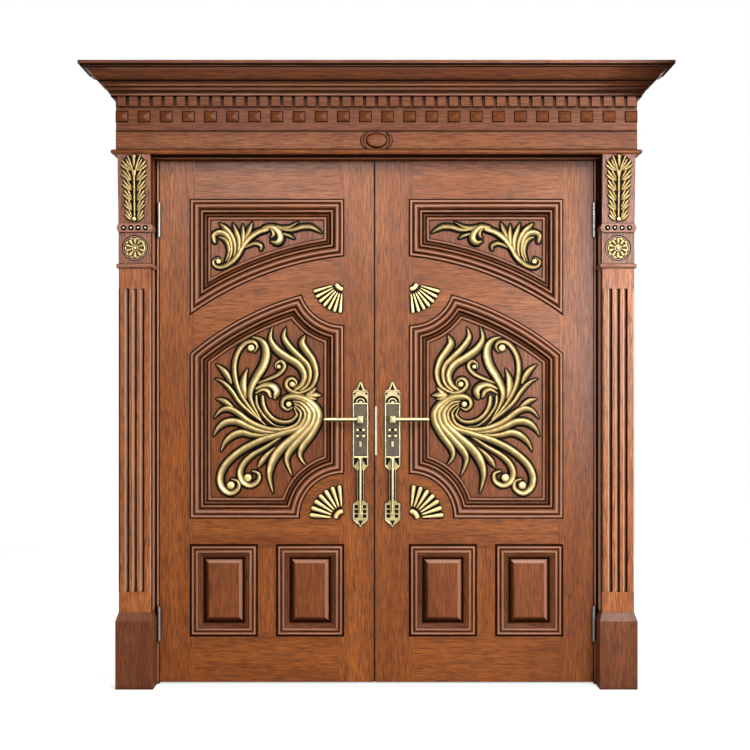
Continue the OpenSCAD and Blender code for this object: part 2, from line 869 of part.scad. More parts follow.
// One carved stroke: crowned section, swept along a curve, that reaches below its ground by root
module stroke(s, scale, rise, root, per) {
    n = ceil(per * (len(s[0]) - 1));
    line = curve(s[0], n);
    rows = [
        for (i = [0 : n])
            let (
                c = scale * line[i],
                a = line[max(i - 1, 0)],
                b = line[min(i + 1, n)],
                v = (b - a) / norm(b - a),
                side = [-v[1], v[0]],
                w = scale * stroke_swell * swell(s[1], s[2], i / n) / 2,
                h = min(rise, 4 + 1.1 * w)
            )
            for (k = [[-1, 0], [-0.36, 1], [0.55, 0.82], [1, 0]])
                let (p = c + side * w * k[0])
                [p[0], p[1], k[1] == 0 ? -root : h * k[1]]
    ];
    sides = [
        for (i = [0 : n - 1])
            for (k = [0 : 3])
                for (t = [0, 1])
                    let (
                        j = (k + 1) % 4,
                        p = 4 * i,
                        q = 4 * i + 4
                    )
                    t == 0 ? [p + k, q + k, q + j] : [p + k, q + j, p + j]
    ];
    polyhedron(
        points = rows,
        faces = concat(sides, [[3, 2, 1, 0]], [[for (k = [0 : 3]) 4 * n + k]])
    );
}

// Rounded button where a stroke starts or a scroll closes
module button(place, r, rise, root, sides) {
    translate([place[0], place[1], -root])
        rotate([0, 0, 17])
            hull()
                cylinder(r1 = r * 1.05, r2 = r * 0.55, h = rise + root, $fn = sides);
}

// Strokes and buttons rooted at different depths, cut off flat at their ground
module carving(strokes, eyes, scale, rise, per) {
    count = len(strokes);
    deep = 1.5;
    step = 0.17;
    ground = 2 * carving_panel;
    difference() {
        union() {
            for (i = [0 : count - 1]) {
                s = strokes[i];
                stroke(s, scale, rise, deep + step * i, per);
                button(scale * s[0][0], scale * s[1][0] * 0.47, min(rise, 4.6 + step * (i % 6)),
                    deep + step * (i + 0.4), 5);
            }
            for (i = [0 : len(eyes) - 1])
                button(scale * eyes[i][0], scale * eyes[i][1], rise - 0.3, deep + step * (i + count), 10);
        }
        translate([-ground, -ground, -ground])
            cube([2 * ground, 2 * ground, ground]);
    }
}

module leaf_phoenix() {
    color(gilt)
        translate([phoenix_eye[0], phoenix_eye[1], -panel_sink])
            carving(phoenix_strokes, phoenix_eyes, phoenix_scale, carving_rise, 0.8);
}

module leaf_scroll() {
    color(gilt)
        translate([scroll_eye[0], scroll_eye[1], -panel_sink])
            carving(scroll_strokes, scroll_eyes, scroll_scale, scroll_rise, 1);
}

// Gilt fan: ribs spread from a hub over an arc
module fan(x, z, r, a, b) {
    step = (b - a) / fan_ribs;
    gap = 0.09 * step;
    hub = 0.24 * r;
    translate([x, z, 0])
        union() {
            linear_extrude(height = 0.35 * fan_rise)
                polygon(concat([[0, 0]], arc([0, 0], 0.97 * r, a, b, 14)));
            for (i = [0 : fan_ribs - 1])
                linear_extrude(height = fan_rise)
                    polygon(concat(
                        arc([0, 0], r, a + i * step + gap, a + (i + 1) * step - gap, 4),
                        arc([0, 0], hub, a + (i + 1) * step - 1.6 * gap, a + i * step + 1.6 * gap, 1)
                    ));
            linear_extrude(height = fan_rise)
                polygon(concat([[0, 0]], arc([0, 0], hub, a, b, 3)));
        }
}

module leaf_fans() {
    color(gilt) {
        fan(scoop_x - 1, fan_height - 4, upper_fan, 192, 270);
        fan(scoop_x - 1, main_foot - 4, lower_fan, 90, 180);
    }
}

// Handle plate outline, half of it, from the crest to the foot, measured from the lever axis
handle_outline = [
    [0, 153], [7, 134], [14, 122], [26, 115], [26, 111], [handle_half, 109],
    [handle_half, -186], [neck_half, -206], [neck_half, -324], [20, -333],
    [handle_half, -337], [handle_half, -400], [11, -417], [0, -433]
];

module handle_shape() {
    polygon(concat(
        handle_outline,
        [for (i = [len(handle_outline) - 2 : -1 : 1]) [-handle_outline[i][0], handle_outline[i][1]]]
    ));
}

module arch_slot(z, r0, r1) {
    polygon(concat(arc([0, z], r1, 12, 168, 12), arc([0, z], r0, 168, 12, 12)));
}

module leaf_handle_plate(keyed) {
    edge = 5;
    color(brass)
        translate([-lever_offset, lever_height, 0])
            difference() {
                linear_extrude(height = handle_thickness)
                    difference() {
                        handle_shape();
                        polygon([[0, 139], [9, 118], [-9, 118]]);
                        arch_slot(66, 21, 26);
                        arch_slot(66, 8, 16);
                        for (s = [-1, 1]) {
                            polygon([[s * 27, 105], [s * 17, 105], [s * 27, 94]]);
                            polygon([[s * 27, -154], [s * 12, -154], [s * 7, -160], [s * 19, -176],
                                [s * 23, -172]]);
                            polygon([[s * 27, -174], [s * 19, -183], [s * 27, -183]]);
                            for (z = [-349, -368, -386])
                                translate([s * 17, z])
                                    square([11, 10], center = true);
                        }
                        circle(r = lever_neck + lever_clearance);
                        if (keyed)
                            translate([0, -key_drop])
                                circle(r = key_radius + bolt_clearance);
                    }
                block(
                    [-handle_half + edge, handle_half - edge],
                    [-148, 60],
                    [handle_thickness - handle_sink, handle_thickness + over]
                );
            }
}

module leaf_pull() {
    color(brass)
        translate([-lever_offset, lever_height, handle_thickness]) {
            union() {
                for (z = [pull_top + 12, pull_foot + 12])
                    translate([0, z, 0])
                        cylinder(r = 4.5, h = pull_stand);
                translate([0, pull_foot, pull_stand])
                    rotate([-90, 0, 0])
                        cylinder(r = pull_radius, h = pull_top - pull_foot + 24);
            }
        }
}

// Scrolled ornament over the keyhole, with the key cylinder behind it on the locked leaf
module leaf_escutcheon(keyed) {
    face = handle_thickness - handle_sink;
    back = keyed ? -leaf_thickness - inner_thickness : face;
    color(brass)
        translate([-lever_offset, key_height, 0])
            difference() {
                union() {
                    translate([0, 0, face])
                        linear_extrude(height = 3.5)
                            union() {
                                for (s = [-1, 1])
                                    for (p = [[11, 29], [11, 6], [6, 21]])
                                        translate([s * p[0], p[1]])
                                            circle(r = 5.5, $fn = 24);
                                polygon([[0, 14], [14, 30], [0, 22], [-14, 30]]);
                                translate([-8, -32])
                                    square([16, 46]);
                            }
                    translate([0, 0, back])
                        cylinder(r = key_radius, h = face + 6 - back);
                }
                block([-1.5, 1.5], [-6, 6], [face + 1, face + 6 + over]);
                if (keyed)
                    translate([0, 0, back - over])
                        cylinder(r = thumb_stem + bolt_clearance, h = thumb_depth + over);
            }
}

thumb_stem = 3;
thumb_depth = 18;

module leaf_inner_plate(keyed) {
    color(brass)
        translate([-lever_offset, lever_height, -leaf_thickness - inner_thickness])
            linear_extrude(height = inner_thickness)
                difference() {
                    translate([-handle_half + 3, -148])
                        square([2 * handle_half - 6, 208]);
                    circle(r = lever_neck + lever_clearance);
                    if (keyed)
                        translate([0, -key_drop])
                            circle(r = key_radius + bolt_clearance);
                }
}

// Lever with its square spindle and the inner lever on the same spindle
module leaf_lever() {
    outer = handle_thickness;
    inner = -leaf_thickness - inner_thickness;
    sweep = lever_length - lever_radius;
    color(brass)
        translate([-lever_offset, lever_height, 0])
            union() {
                translate([-spindle / 2, -spindle / 2, inner - 4])
                    cube([spindle, spindle, outer - inner + 8]);
                translate([0, 0, outer - handle_thickness + 1])
                    cylinder(r = lever_neck, h = lever_stand);
                translate([-11, -14, outer + 8])
                    cube([22, 28, lever_stand - 4]);
                translate([0, 0, outer + lever_stand - 4])
                    rotate([0, -90, 0])
                        cylinder(r1 = lever_radius, r2 = lever_radius * 0.78, h = sweep);
                translate([-sweep, 0, outer + lever_stand - 4])
                    sphere(r = lever_radius * 0.79);
                translate([0, 0, inner - lever_stand])
                    cylinder(r = lever_neck, h = lever_stand + inner_thickness - 1);
                translate([0, 0, inner - lever_stand + 6])
                    rotate([0, -90, 0])
                        cylinder(r1 = lever_radius, r2 = lever_radius * 0.78, h = sweep);
            }
}

module leaf_hinge_plates() {
    color(steel)
        for (z = hinge_rows)
            hinge_half(
                [hinge_edge, hinge_edge + plate_thickness],
                z,
                [1, 3]
            );
}

// Half of a hinge: plate, its knuckles and the webs that join them
module hinge_half(x, z, own) {
    foot = z - hinge_height / 2;
    difference() {
        union() {
            translate([x[0], wall_y, foot])
                cube([x[1] - x[0], plate_depth, hinge_height]);
            for (k = own) {
                translate([x[0], hinge_y, foot + k * (knuckle + knuckle_gap)])
                    cube([x[1] - x[0], barrel_proud + 1, knuckle]);
                translate([hinge_x, hinge_y, foot + k * (knuckle + knuckle_gap)])
                    cylinder(r = barrel_radius, h = knuckle);
            }
        }
        translate([hinge_x, hinge_y, foot - over])
            cylinder(r = pin_radius + pin_clearance, h = hinge_height + 2 * over);
    }
}

module jamb_plates() {
    for (z = hinge_rows)
        hinge_half([-half_opening - plate_thickness, -half_opening], z, [0, 2, 4]);
}

module pin_set() {
    for (z = hinge_rows)
        translate([hinge_x, hinge_y, z - hinge_height / 2]) {
            cylinder(r = pin_radius, h = hinge_height);
            translate([0, 0, hinge_height])
                cylinder(r = barrel_radius - 1, h = 4);
            translate([0, 0, -4])
                cylinder(r = barrel_radius - 1, h = 4);
        }
}

module side_jamb() {
    outer = -half_opening - jamb_thickness;
    stop = leaf_thickness + stop_gap;
    color(dark_wood)
        stand()
            difference() {
                union() {
                    block([outer, -half_opening], [0, head_foot], [-jamb_depth, 0]);
                    block([-half_opening - over, -half_opening + stop_width], [0, head_foot],
                        [-jamb_depth, -stop]);
                }
                hinge_recess([-half_opening - plate_thickness, -half_opening + over]);
                for (z = [fixing_end, head_foot - fixing_end])
                    translate([outer - over, z, -jamb_depth + fixing_inset])
                        rotate([0, 90, 0])
                            cylinder(r = fixing_radius, h = jamb_thickness + stop_width + 2 * over);
            }
}

module left_jamb() {
    side_jamb();
}

module right_jamb() {
    other_side()
        side_jamb();
}

module head_jamb() {
    stop = leaf_thickness + stop_gap;
    outer = half_opening + jamb_thickness;
    inner = half_opening - stop_width;
    color(dark_wood)
        stand()
            union() {
                block([-outer, outer], [head_foot, head_foot + jamb_thickness], [-jamb_depth, 0]);
                block([-inner, inner], [head_foot - stop_width, head_foot + over], [-jamb_depth, -stop]);
            }
}

// Plinth block with a top that slopes in to the shaft on the front and both sides
module plinth() {
    flat = plinth_height - plinth_slope;
    inset = (plinth_width - shaft_width) / 2;
    color(wood)
        stand()
            translate([-pilaster_x, 0, 0])
                intersection() {
                    along_wall(2 * plinth_width)
                        polygon([
                            [0, 0], [plinth_depth, 0], [plinth_depth, flat],
                            [shaft_depth, plinth_height], [0, plinth_height]
                        ]);
                    linear_extrude(height = plinth_depth + over)
                        polygon([
                            [-plinth_width / 2, 0], [plinth_width / 2, 0], [plinth_width / 2, flat],
                            [plinth_width / 2 - inset, plinth_height],
                            [inset - plinth_width / 2, plinth_height],
                            [-plinth_width / 2, flat]
                        ]);
                }
}

module left_plinth() {
    plinth();
}

module right_plinth() {
    other_side()
        plinth();
}

module shaft() {
    edge = 4;
    foot = plinth_height + flute_end;
    tall = shaft_top - flute_end - foot;
    color(wood)
        stand()
            translate([-pilaster_x, 0, 0])
                difference() {
                    translate([0, plinth_height, 0])
                        rotate([-90, 0, 0])
                            linear_extrude(height = shaft_top - plinth_height)
                                polygon([
                                    [-shaft_width / 2, 0], [shaft_width / 2, 0],
                                    [shaft_width / 2, edge - shaft_depth],
                                    [shaft_width / 2 - edge, -shaft_depth],
                                    [edge - shaft_width / 2, -shaft_depth],
                                    [-shaft_width / 2, edge - shaft_depth]
                                ]);
                    for (i = [0 : flutes - 1])
                        translate([(i - (flutes - 1) / 2) * flute_pitch, foot, shaft_depth])
                            rotate([-90, 0, 0])
                                cylinder(r = flute_radius, h = tall);
                }
}

module left_shaft() {
    shaft();
}

module right_shaft() {
    other_side()
        shaft();
}

module collars() {
    color(wood)
        both_sides()
            stand()
                translate([-pilaster_x, 0, 0])
                    intersection() {
                        along_wall(2 * collar_width)
                            polygon(concat(
                                [[0, shaft_top]],
                                arc([collar_depth - 8, shaft_top + collar_height / 2], 9, -62, 62, 6),
                                [[0, shaft_top + collar_height]]
                            ));
                        block(
                            [-collar_width / 2, collar_width / 2],
                            [shaft_top, shaft_top + collar_height],
                            [0, collar_depth + 2 * over]
                        );
                    }
}

module capital_blocks() {
    color(wood)
        both_sides()
            stand()
                translate([-pilaster_x, 0, 0]) {
                    difference() {
                        block([-shaft_width / 2, shaft_width / 2], [capital_foot, band_foot],
                            [0, shaft_depth]);
                        translate([0, capital_foot + rosette_block / 2, shaft_depth - rosette_seat])
                            cylinder(r = rosette_radius + rosette_gap, h = rosette_seat + over);
                    }
                    along_wall(shaft_width)
                        polygon([
                            [0, console_base], [console_foot, console_base],
                            [console_head, bead_foot], [0, bead_foot]
                        ]);
                }
}

module rosettes() {
    petal_r = rosette_radius * 0.62;
    color(gilt)
        both_sides()
            stand()
                translate([-pilaster_x, capital_foot + rosette_block / 2, shaft_depth - rosette_seat])
                    union() {
                        cylinder(r = rosette_radius, h = 5);
                        for (i = [0 : petals - 1])
                            rotate([0, 0, i * 360 / petals])
                                linear_extrude(height = 10)
                                    polygon([
                                        [9, -2], [petal_r, -7.6], [rosette_radius - 4, -7],
                                        [rosette_radius - 1, 0],
                                        [rosette_radius - 4, 7], [petal_r, 7.6], [9, 2]
                                    ]);
                        cylinder(r = 10.5, h = 12);
                    }
}

module pearl_bands() {
    top = band_foot + band_height;
    color(wood)
        both_sides()
            stand()
                translate([-pilaster_x, 0, 0])
                    difference() {
                        linear_extrude(height = collar_depth)
                            polygon([
                                [-collar_width / 2 + band_point, band_foot],
                                [collar_width / 2 - band_point, band_foot],
                                [collar_width / 2, (band_foot + top) / 2],
                                [collar_width / 2 - band_point, top],
                                [-collar_width / 2 + band_point, top],
                                [-collar_width / 2, (band_foot + top) / 2]
                            ]);
                        for (i = [0 : 3])
                            translate([(i - 1.5) * pearl_pitch, (band_foot + top) / 2,
                                collar_depth - pearl_seat])
                                cylinder(r = pearl_radius + 3.5, h = pearl_seat + over);
                    }
}

module pearls() {
    middle = band_foot + band_height / 2;
    color(steel)
        both_sides()
            stand()
                for (i = [0 : 3])
                    translate([-pilaster_x + (i - 1.5) * pearl_pitch, middle, collar_depth - pearl_seat])
                        rotate_extrude()
                            polygon(concat([[0, 0]], arc([0, 0], pearl_radius, 0, 90, 8)));
}

// Acanthus leaf: forked midrib and lobes, on the sloping face of the console
acanthus_lobes = [
    [212, 44, 49], [181, 43, 49], [150, 42, 48], [119, 39, 45], [88, 36, 42], [57, 32, 38],
    [26, 28, 33]
];
acanthus_strokes = concat(
    [
        [[[0, 6], [0, 90], [0, 190]], [11, 12, 15], 0.6],
        [[[-1, 176], [-9, 212], [-22, 246]], [9, 9, 8], 0.5],
        [[[1, 176], [9, 212], [22, 246]], [9, 9, 8], 0.5],
        [[[0, 212], [0, 228], [0, 246]], [4, 13, 22], 0.6]
    ],
    [
        for (l = acanthus_lobes)
            for (s = [-1, 1])
                [[[s * 3, l[0] - 19], [s * l[1] * 0.6, l[0] - 6], [s * l[2], l[0] + 20]],
                    [10, 27, 8], 0.55]
    ]
);

module acanthus_leaves() {
    tall = bead_foot - console_base;
    slope = (console_head - console_foot) / tall;
    color(gilt)
        both_sides()
            stand()
                translate([-pilaster_x, console_base + 16, console_foot + 16 * slope])
                    rotate([atan(slope), 0, 0])
                        carving(acanthus_strokes, [[[0, 2], 11]], (tall - 20) / 250, acanthus_rise, 1);
}

module base_bead() {
    r = bead_height / 2;
    steps = concat(
        [[0, bead_foot]],
        [for (p = arc([bead_overhang - r, bead_foot + r], r, -90, 90, 8)) p],
        [[0, bead_foot + bead_height]]
    );
    color(wood)
        stand()
            returned(steps, fascia_depth, beam_half);
}

module fascia() {
    color(wood)
        stand()
            block([-beam_half, beam_half], [fascia_foot, frieze_foot], [0, fascia_depth]);
}

module oval(w, h) {
    polygon([for (i = [0 : 35]) [w / 2 * cos(10 * i), h / 2 * sin(10 * i)]]);
}

module oval_boss() {
    middle = fascia_foot + fascia_height / 2;
    color(wood)
        stand()
            translate([0, middle, fascia_depth]) {
                union() {
                    linear_extrude(height = boss_rise * 0.45)
                        oval(boss_width, boss_height);
                    linear_extrude(height = boss_rise * 0.78)
                        oval(boss_width * 0.86, boss_height * 0.84);
                    linear_extrude(height = boss_rise)
                        oval(boss_width * 0.62, boss_height * 0.58);
                }
                linear_extrude(height = 6)
                    intersection() {
                        difference() {
                            oval(boss_width + 44, boss_height + 42);
                            oval(boss_width + 30, boss_height + 28);
                        }
                        union()
                            for (s = [-1, 1])
                                translate([s * (boss_width / 2 + 14), 0])
                                    square([26, fascia_height - 12], center = true);
                    }
            }
}

module frieze() {
    color(wood)
        stand()
            block([-beam_half, beam_half], [frieze_foot, crown_foot], [0, frieze_depth]);
}

module frieze_studs() {
    pitch = (2 * beam_half - stud_width) / (studs - 1);
    middle = frieze_foot + frieze_height * 0.6;
    w = stud_width / 2;
    h = stud_height / 2;
    color(wood)
        stand()
            for (i = [0 : studs - 1])
                translate([(i - (studs - 1) / 2) * pitch, middle, frieze_depth])
                    polyhedron(
                        points = [[-w, -h, 0], [w, -h, 0], [w, h, 0], [-w, h, 0], [0, 0, stud_rise]],
                        faces = [[0, 1, 2, 3], [1, 0, 4], [2, 1, 4], [3, 2, 4], [0, 3, 4]]
                    );
}

module dentil_course() {
    back = 4;
    pitch = (2 * beam_half - 16 - dentil_width) / (dentils - 1);
    color(wood)
        stand()
            union() {
                block([-beam_half, beam_half], [dentil_foot, crown_foot],
                    [frieze_depth, frieze_depth + back]);
                for (i = [0 : dentils - 1])
                    translate([(i - (dentils - 1) / 2) * pitch - dentil_width / 2, dentil_foot,
                        frieze_depth])
                        cube([dentil_width, dentil_height, dentil_reach]);
            }
}

// Crown steps as shares of its reach and height, from the dentils up
crown_shape = [
    [0.14, 0], [0.14, 0.10], [0.21, 0.12], [0.21, 0.21], [0.28, 0.23], [0.31, 0.31], [0.37, 0.37],
    [0.44, 0.40],
    [0.44, 0.43], [0.50, 0.46], [0.56, 0.52], [0.61, 0.60], [0.66, 0.68], [0.74, 0.75], [0.83, 0.79],
    [0.88, 0.80], [0.88, 0.86], [1.00, 0.89], [1.00, 1.00]
];

module crown() {
    color(wood)
        stand()
            returned(
                [for (p = crown_shape) [p[0] * crown_reach, crown_foot + p[1] * crown_height]],
                frieze_depth,
                beam_half
            );
}

module jamb_hinge_plates() {
    color(steel)
        both_sides()
            jamb_plates();
}

module hinge_pins() {
    color(steel)
        both_sides()
            pin_set();
}

module left_hinge_plates() {
    leaf_hinge_plates();
}

module right_hinge_plates() {
    other_side()
        leaf_hinge_plates();
}

module left_stiles() {
    stand()
        leaf_stiles(left_edge, false);
}

module right_stiles() {
    other_side()
        stand()
            leaf_stiles(right_edge, true);
}

module left_rails() {
    stand()
        leaf_rails();
}

module right_rails() {
    other_side()
        stand()
            leaf_rails();
}

module left_upper_panel() {
    stand()
        upper_panel();
}

module right_upper_panel() {
    other_side()
        stand()
            upper_panel();
}

module left_main_panel() {
    stand()
        main_panel();
}

module right_main_panel() {
    other_side()
        stand()
            main_panel();
}

module left_lower_panels() {
    stand()
        lower_panels();
}

module right_lower_panels() {
    other_side()
        stand()
            lower_panels();
}

module left_mouldings() {
    color(wood)
        stand()
            leaf_mouldings(front_profile, lower_profile, 6);
}

module right_mouldings() {
    color(wood)
        other_side()
            stand()
                leaf_mouldings(front_profile, lower_profile, 6);
}

module back_mouldings() {
    color(wood)
        stand()
            translate([0, 0, -leaf_thickness])
                mirror([0, 0, 1])
                    leaf_mouldings(back_profile, back_profile, 6);
}

module left_back_mouldings() {
    back_mouldings();
}

module right_back_mouldings() {
    other_side()
        back_mouldings();
}

module left_scroll() {
    stand()
        leaf_scroll();
}

module right_scroll() {
    other_side()
        stand()
            leaf_scroll();
}

module left_phoenix() {
    stand()
        leaf_phoenix();
}

module right_phoenix() {
    other_side()
        stand()
            leaf_phoenix();
}

module left_fans() {
    stand()
        leaf_fans();
}

module right_fans() {
    other_side()
        stand()
            leaf_fans();
}

module left_handle_plate() {
    stand()
        leaf_handle_plate(false);
}

module right_handle_plate() {
    other_side()
        stand()
            leaf_handle_plate(true);
}

module left_pull() {
    stand()
        leaf_pull();
}

module right_pull() {
    other_side()
        stand()
            leaf_pull();
}

module left_escutcheon() {
    stand()
        leaf_escutcheon(false);
}

module right_escutcheon() {
    other_side()
        stand()
            leaf_escutcheon(true);
}

module left_inner_plate() {
    stand()
        leaf_inner_plate(false);
}

module right_inner_plate() {
    other_side()
        stand()
            leaf_inner_plate(true);
}

module left_lever() {
    stand()
        leaf_lever();
}

module right_lever() {
    other_side()
        stand()
            leaf_lever();
}

// Lock case with its forend, drawn on the left and turned over to the right leaf
latch_z = [lever_height - latch_height / 2, lever_height + latch_height / 2];
deadbolt_z = [key_height - deadbolt_height / 2, key_height + deadbolt_height / 2];
bolt_h = [-case_y - bolt_thickness / 2, -case_y + bolt_thickness / 2];
latch_tail = 40;
deadbolt_tail = 44;

function grown(span, by) = [span[0] - by, span[1] + by];

module lock_case() {
    edge = right_edge;
    inner = edge - forend_thickness;
    color(steel)
        other_side()
            stand()
                difference() {
                    union() {
                        block(
                            [inner - case_depth, inner + small],
                            [case_middle - case_height / 2, case_middle + case_height / 2],
                            [-case_y - case_thickness / 2, -case_y + case_thickness / 2]
                        );
                        block(
                            [inner, edge],
                            [case_middle - forend_length / 2, case_middle + forend_length / 2],
                            [-case_y - 13, 0]
                        );
                        block(
                            [edge - forend_lip, edge],
                            [case_middle - forend_length / 2, case_middle + forend_length / 2],
                            [0, 1.6]
                        );
                    }
                    block(
                        [edge - latch_tail - 20, edge + over],
                        grown(latch_z, bolt_clearance),
                        grown(bolt_h, bolt_clearance)
                    );
                    block(
                        [edge - deadbolt_tail - 4, edge + over],
                        grown(deadbolt_z, bolt_clearance),
                        grown(bolt_h, bolt_clearance)
                    );
                    leaf_bore(-lever_offset, lever_height, lever_neck + lever_clearance);
                    leaf_bore(-lever_offset, key_height, key_radius + bolt_clearance);
                }
}

module latch_bolt() {
    nose = right_edge + meeting_gap + latch_reach;
    bevel = 7;
    color(brass)
        other_side()
            stand()
                translate([0, latch_z[0], 0])
                    rotate([-90, 0, 0])
                        linear_extrude(height = latch_height)
                            polygon([
                                [right_edge - latch_tail, -bolt_h[0]], [nose - bevel, -bolt_h[0]],
                                [nose, -bolt_h[1] + 2],
                                [nose, -bolt_h[1]],
                                [right_edge - latch_tail, -bolt_h[1]]
                            ]);
}

module deadbolt() {
    color(brass)
        other_side()
            stand()
                block([right_edge - deadbolt_tail, right_edge - 0.5], deadbolt_z, bolt_h);
}

// Turn on the inside that throws the deadbolt
module thumbturn() {
    back = -leaf_thickness - inner_thickness;
    color(brass)
        other_side()
            stand()
                translate([-lever_offset, key_height, back])
                    union() {
                        translate([0, 0, -10])
                            cylinder(r = thumb_stem, h = thumb_depth + 8);
                        translate([0, 0, -8])
                            cylinder(r = 11, h = 7);
                        translate([-3, -16, -28])
                            cube([6, 32, 21]);
                    }
}

module strike_plate() {
    edge = left_edge;
    color(steel)
        stand()
            difference() {
                block(
                    [edge - forend_thickness, edge],
                    [case_middle - forend_length / 2, case_middle + forend_length / 2],
                    [-case_y - 12, -case_y + 12]
                );
                block([edge - forend_thickness - over, edge + over], grown(latch_z, 2),
                    grown(bolt_h, 1.5));
                block([edge - forend_thickness - over, edge + over], grown(deadbolt_z, 2),
                    grown(bolt_h, 1.5));
            }
}

left_jamb();
right_jamb();
head_jamb();
left_plinth();
right_plinth();
left_shaft();
right_shaft();
collars();
capital_blocks();
rosettes();
pearl_bands();
pearls();
acanthus_leaves();
base_bead();
fascia();
oval_boss();
frieze();
frieze_studs();
dentil_course();
crown();
jamb_hinge_plates();
hinge_pins();
left_hinge_plates();
left_stiles();
left_rails();
left_upper_panel();
left_main_panel();
left_lower_panels();
left_mouldings();
left_back_mouldings();
left_scroll();
left_phoenix();
left_fans();
left_handle_plate();
left_pull();
left_escutcheon();
left_inner_plate();
right_hinge_plates();
right_stiles();
right_rails();
right_upper_panel();
right_main_panel();
right_lower_panels();
right_mouldings();
right_back_mouldings();
right_scroll();
right_phoenix();
right_fans();
right_handle_plate();
right_pull();
right_escutcheon();
right_inner_plate();
left_lever();
right_lever();
lock_case();
latch_bolt();
deadbolt();
thumbturn();
strike_plate();
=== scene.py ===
"""Looks of a carved wooden double door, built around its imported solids."""

import json
import logging
import math
from dataclasses import dataclass, field
from enum import Enum
from typing import Callable, Optional, Sequence

import bmesh
import bpy
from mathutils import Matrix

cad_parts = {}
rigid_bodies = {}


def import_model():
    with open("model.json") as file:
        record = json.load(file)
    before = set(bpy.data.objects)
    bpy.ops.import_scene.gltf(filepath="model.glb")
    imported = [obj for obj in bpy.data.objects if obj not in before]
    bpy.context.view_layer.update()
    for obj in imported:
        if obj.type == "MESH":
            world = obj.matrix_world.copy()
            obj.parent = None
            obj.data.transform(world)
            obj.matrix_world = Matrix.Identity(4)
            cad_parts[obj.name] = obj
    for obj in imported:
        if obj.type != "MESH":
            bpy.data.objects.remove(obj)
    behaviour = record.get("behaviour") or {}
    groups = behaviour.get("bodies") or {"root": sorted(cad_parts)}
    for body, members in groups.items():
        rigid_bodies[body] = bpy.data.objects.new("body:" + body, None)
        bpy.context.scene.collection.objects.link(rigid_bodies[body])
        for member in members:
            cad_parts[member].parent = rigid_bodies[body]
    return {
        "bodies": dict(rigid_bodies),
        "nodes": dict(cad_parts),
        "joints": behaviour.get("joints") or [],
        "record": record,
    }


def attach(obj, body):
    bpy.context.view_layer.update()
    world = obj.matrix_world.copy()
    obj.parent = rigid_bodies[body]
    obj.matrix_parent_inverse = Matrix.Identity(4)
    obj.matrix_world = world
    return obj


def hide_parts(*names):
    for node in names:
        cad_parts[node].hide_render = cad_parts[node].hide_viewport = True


LOG = logging.getLogger("double_door")

Point2 = tuple[float, float]
Point3 = tuple[float, float, float]
Color = tuple[float, float, float]
Level = tuple[float, float, float, float]

Socket = bpy.types.NodeSocket
Material = bpy.types.Material

MM = 0.001
# Y of the wall's face and of the leaves' front, in metres
WALL_Y = 0.030


class Side(Enum):
    """The two leaves and the pilaster beside each."""

    LEFT = "left"
    RIGHT = "right"

    @property
    def sign(self) -> float:
        """Factor on widths drawn for the left."""
        return 1.0 if self is Side.LEFT else -1.0

    @property
    def leaf(self) -> str:
        """Body of the leaf on this side."""
        return f"{self.value}_leaf"


class Grain(Enum):
    """Way that the fibres of a board run."""

    UPRIGHT = "upright"
    LEVEL = "level"
    RUN = "run"


def world(x: float, z: float, h: float, sign: float = 1.0) -> Point3:
    """Turns a point of the front elevation into a place in the shared frame.

    Args:
        x: Distance across, in millimetres, as drawn for the left.
        z: Height, in millimetres.
        h: Distance out of the wall face, in millimetres.
        sign: 1 for the left, -1 to mirror to the right.

    Returns:
        The place in metres.
    """
    return (sign * x * MM, WALL_Y - h * MM, z * MM)


def lerp(a: float, b: float, t: float) -> float:
    """Value between a and b at share t."""
    return a + (b - a) * t


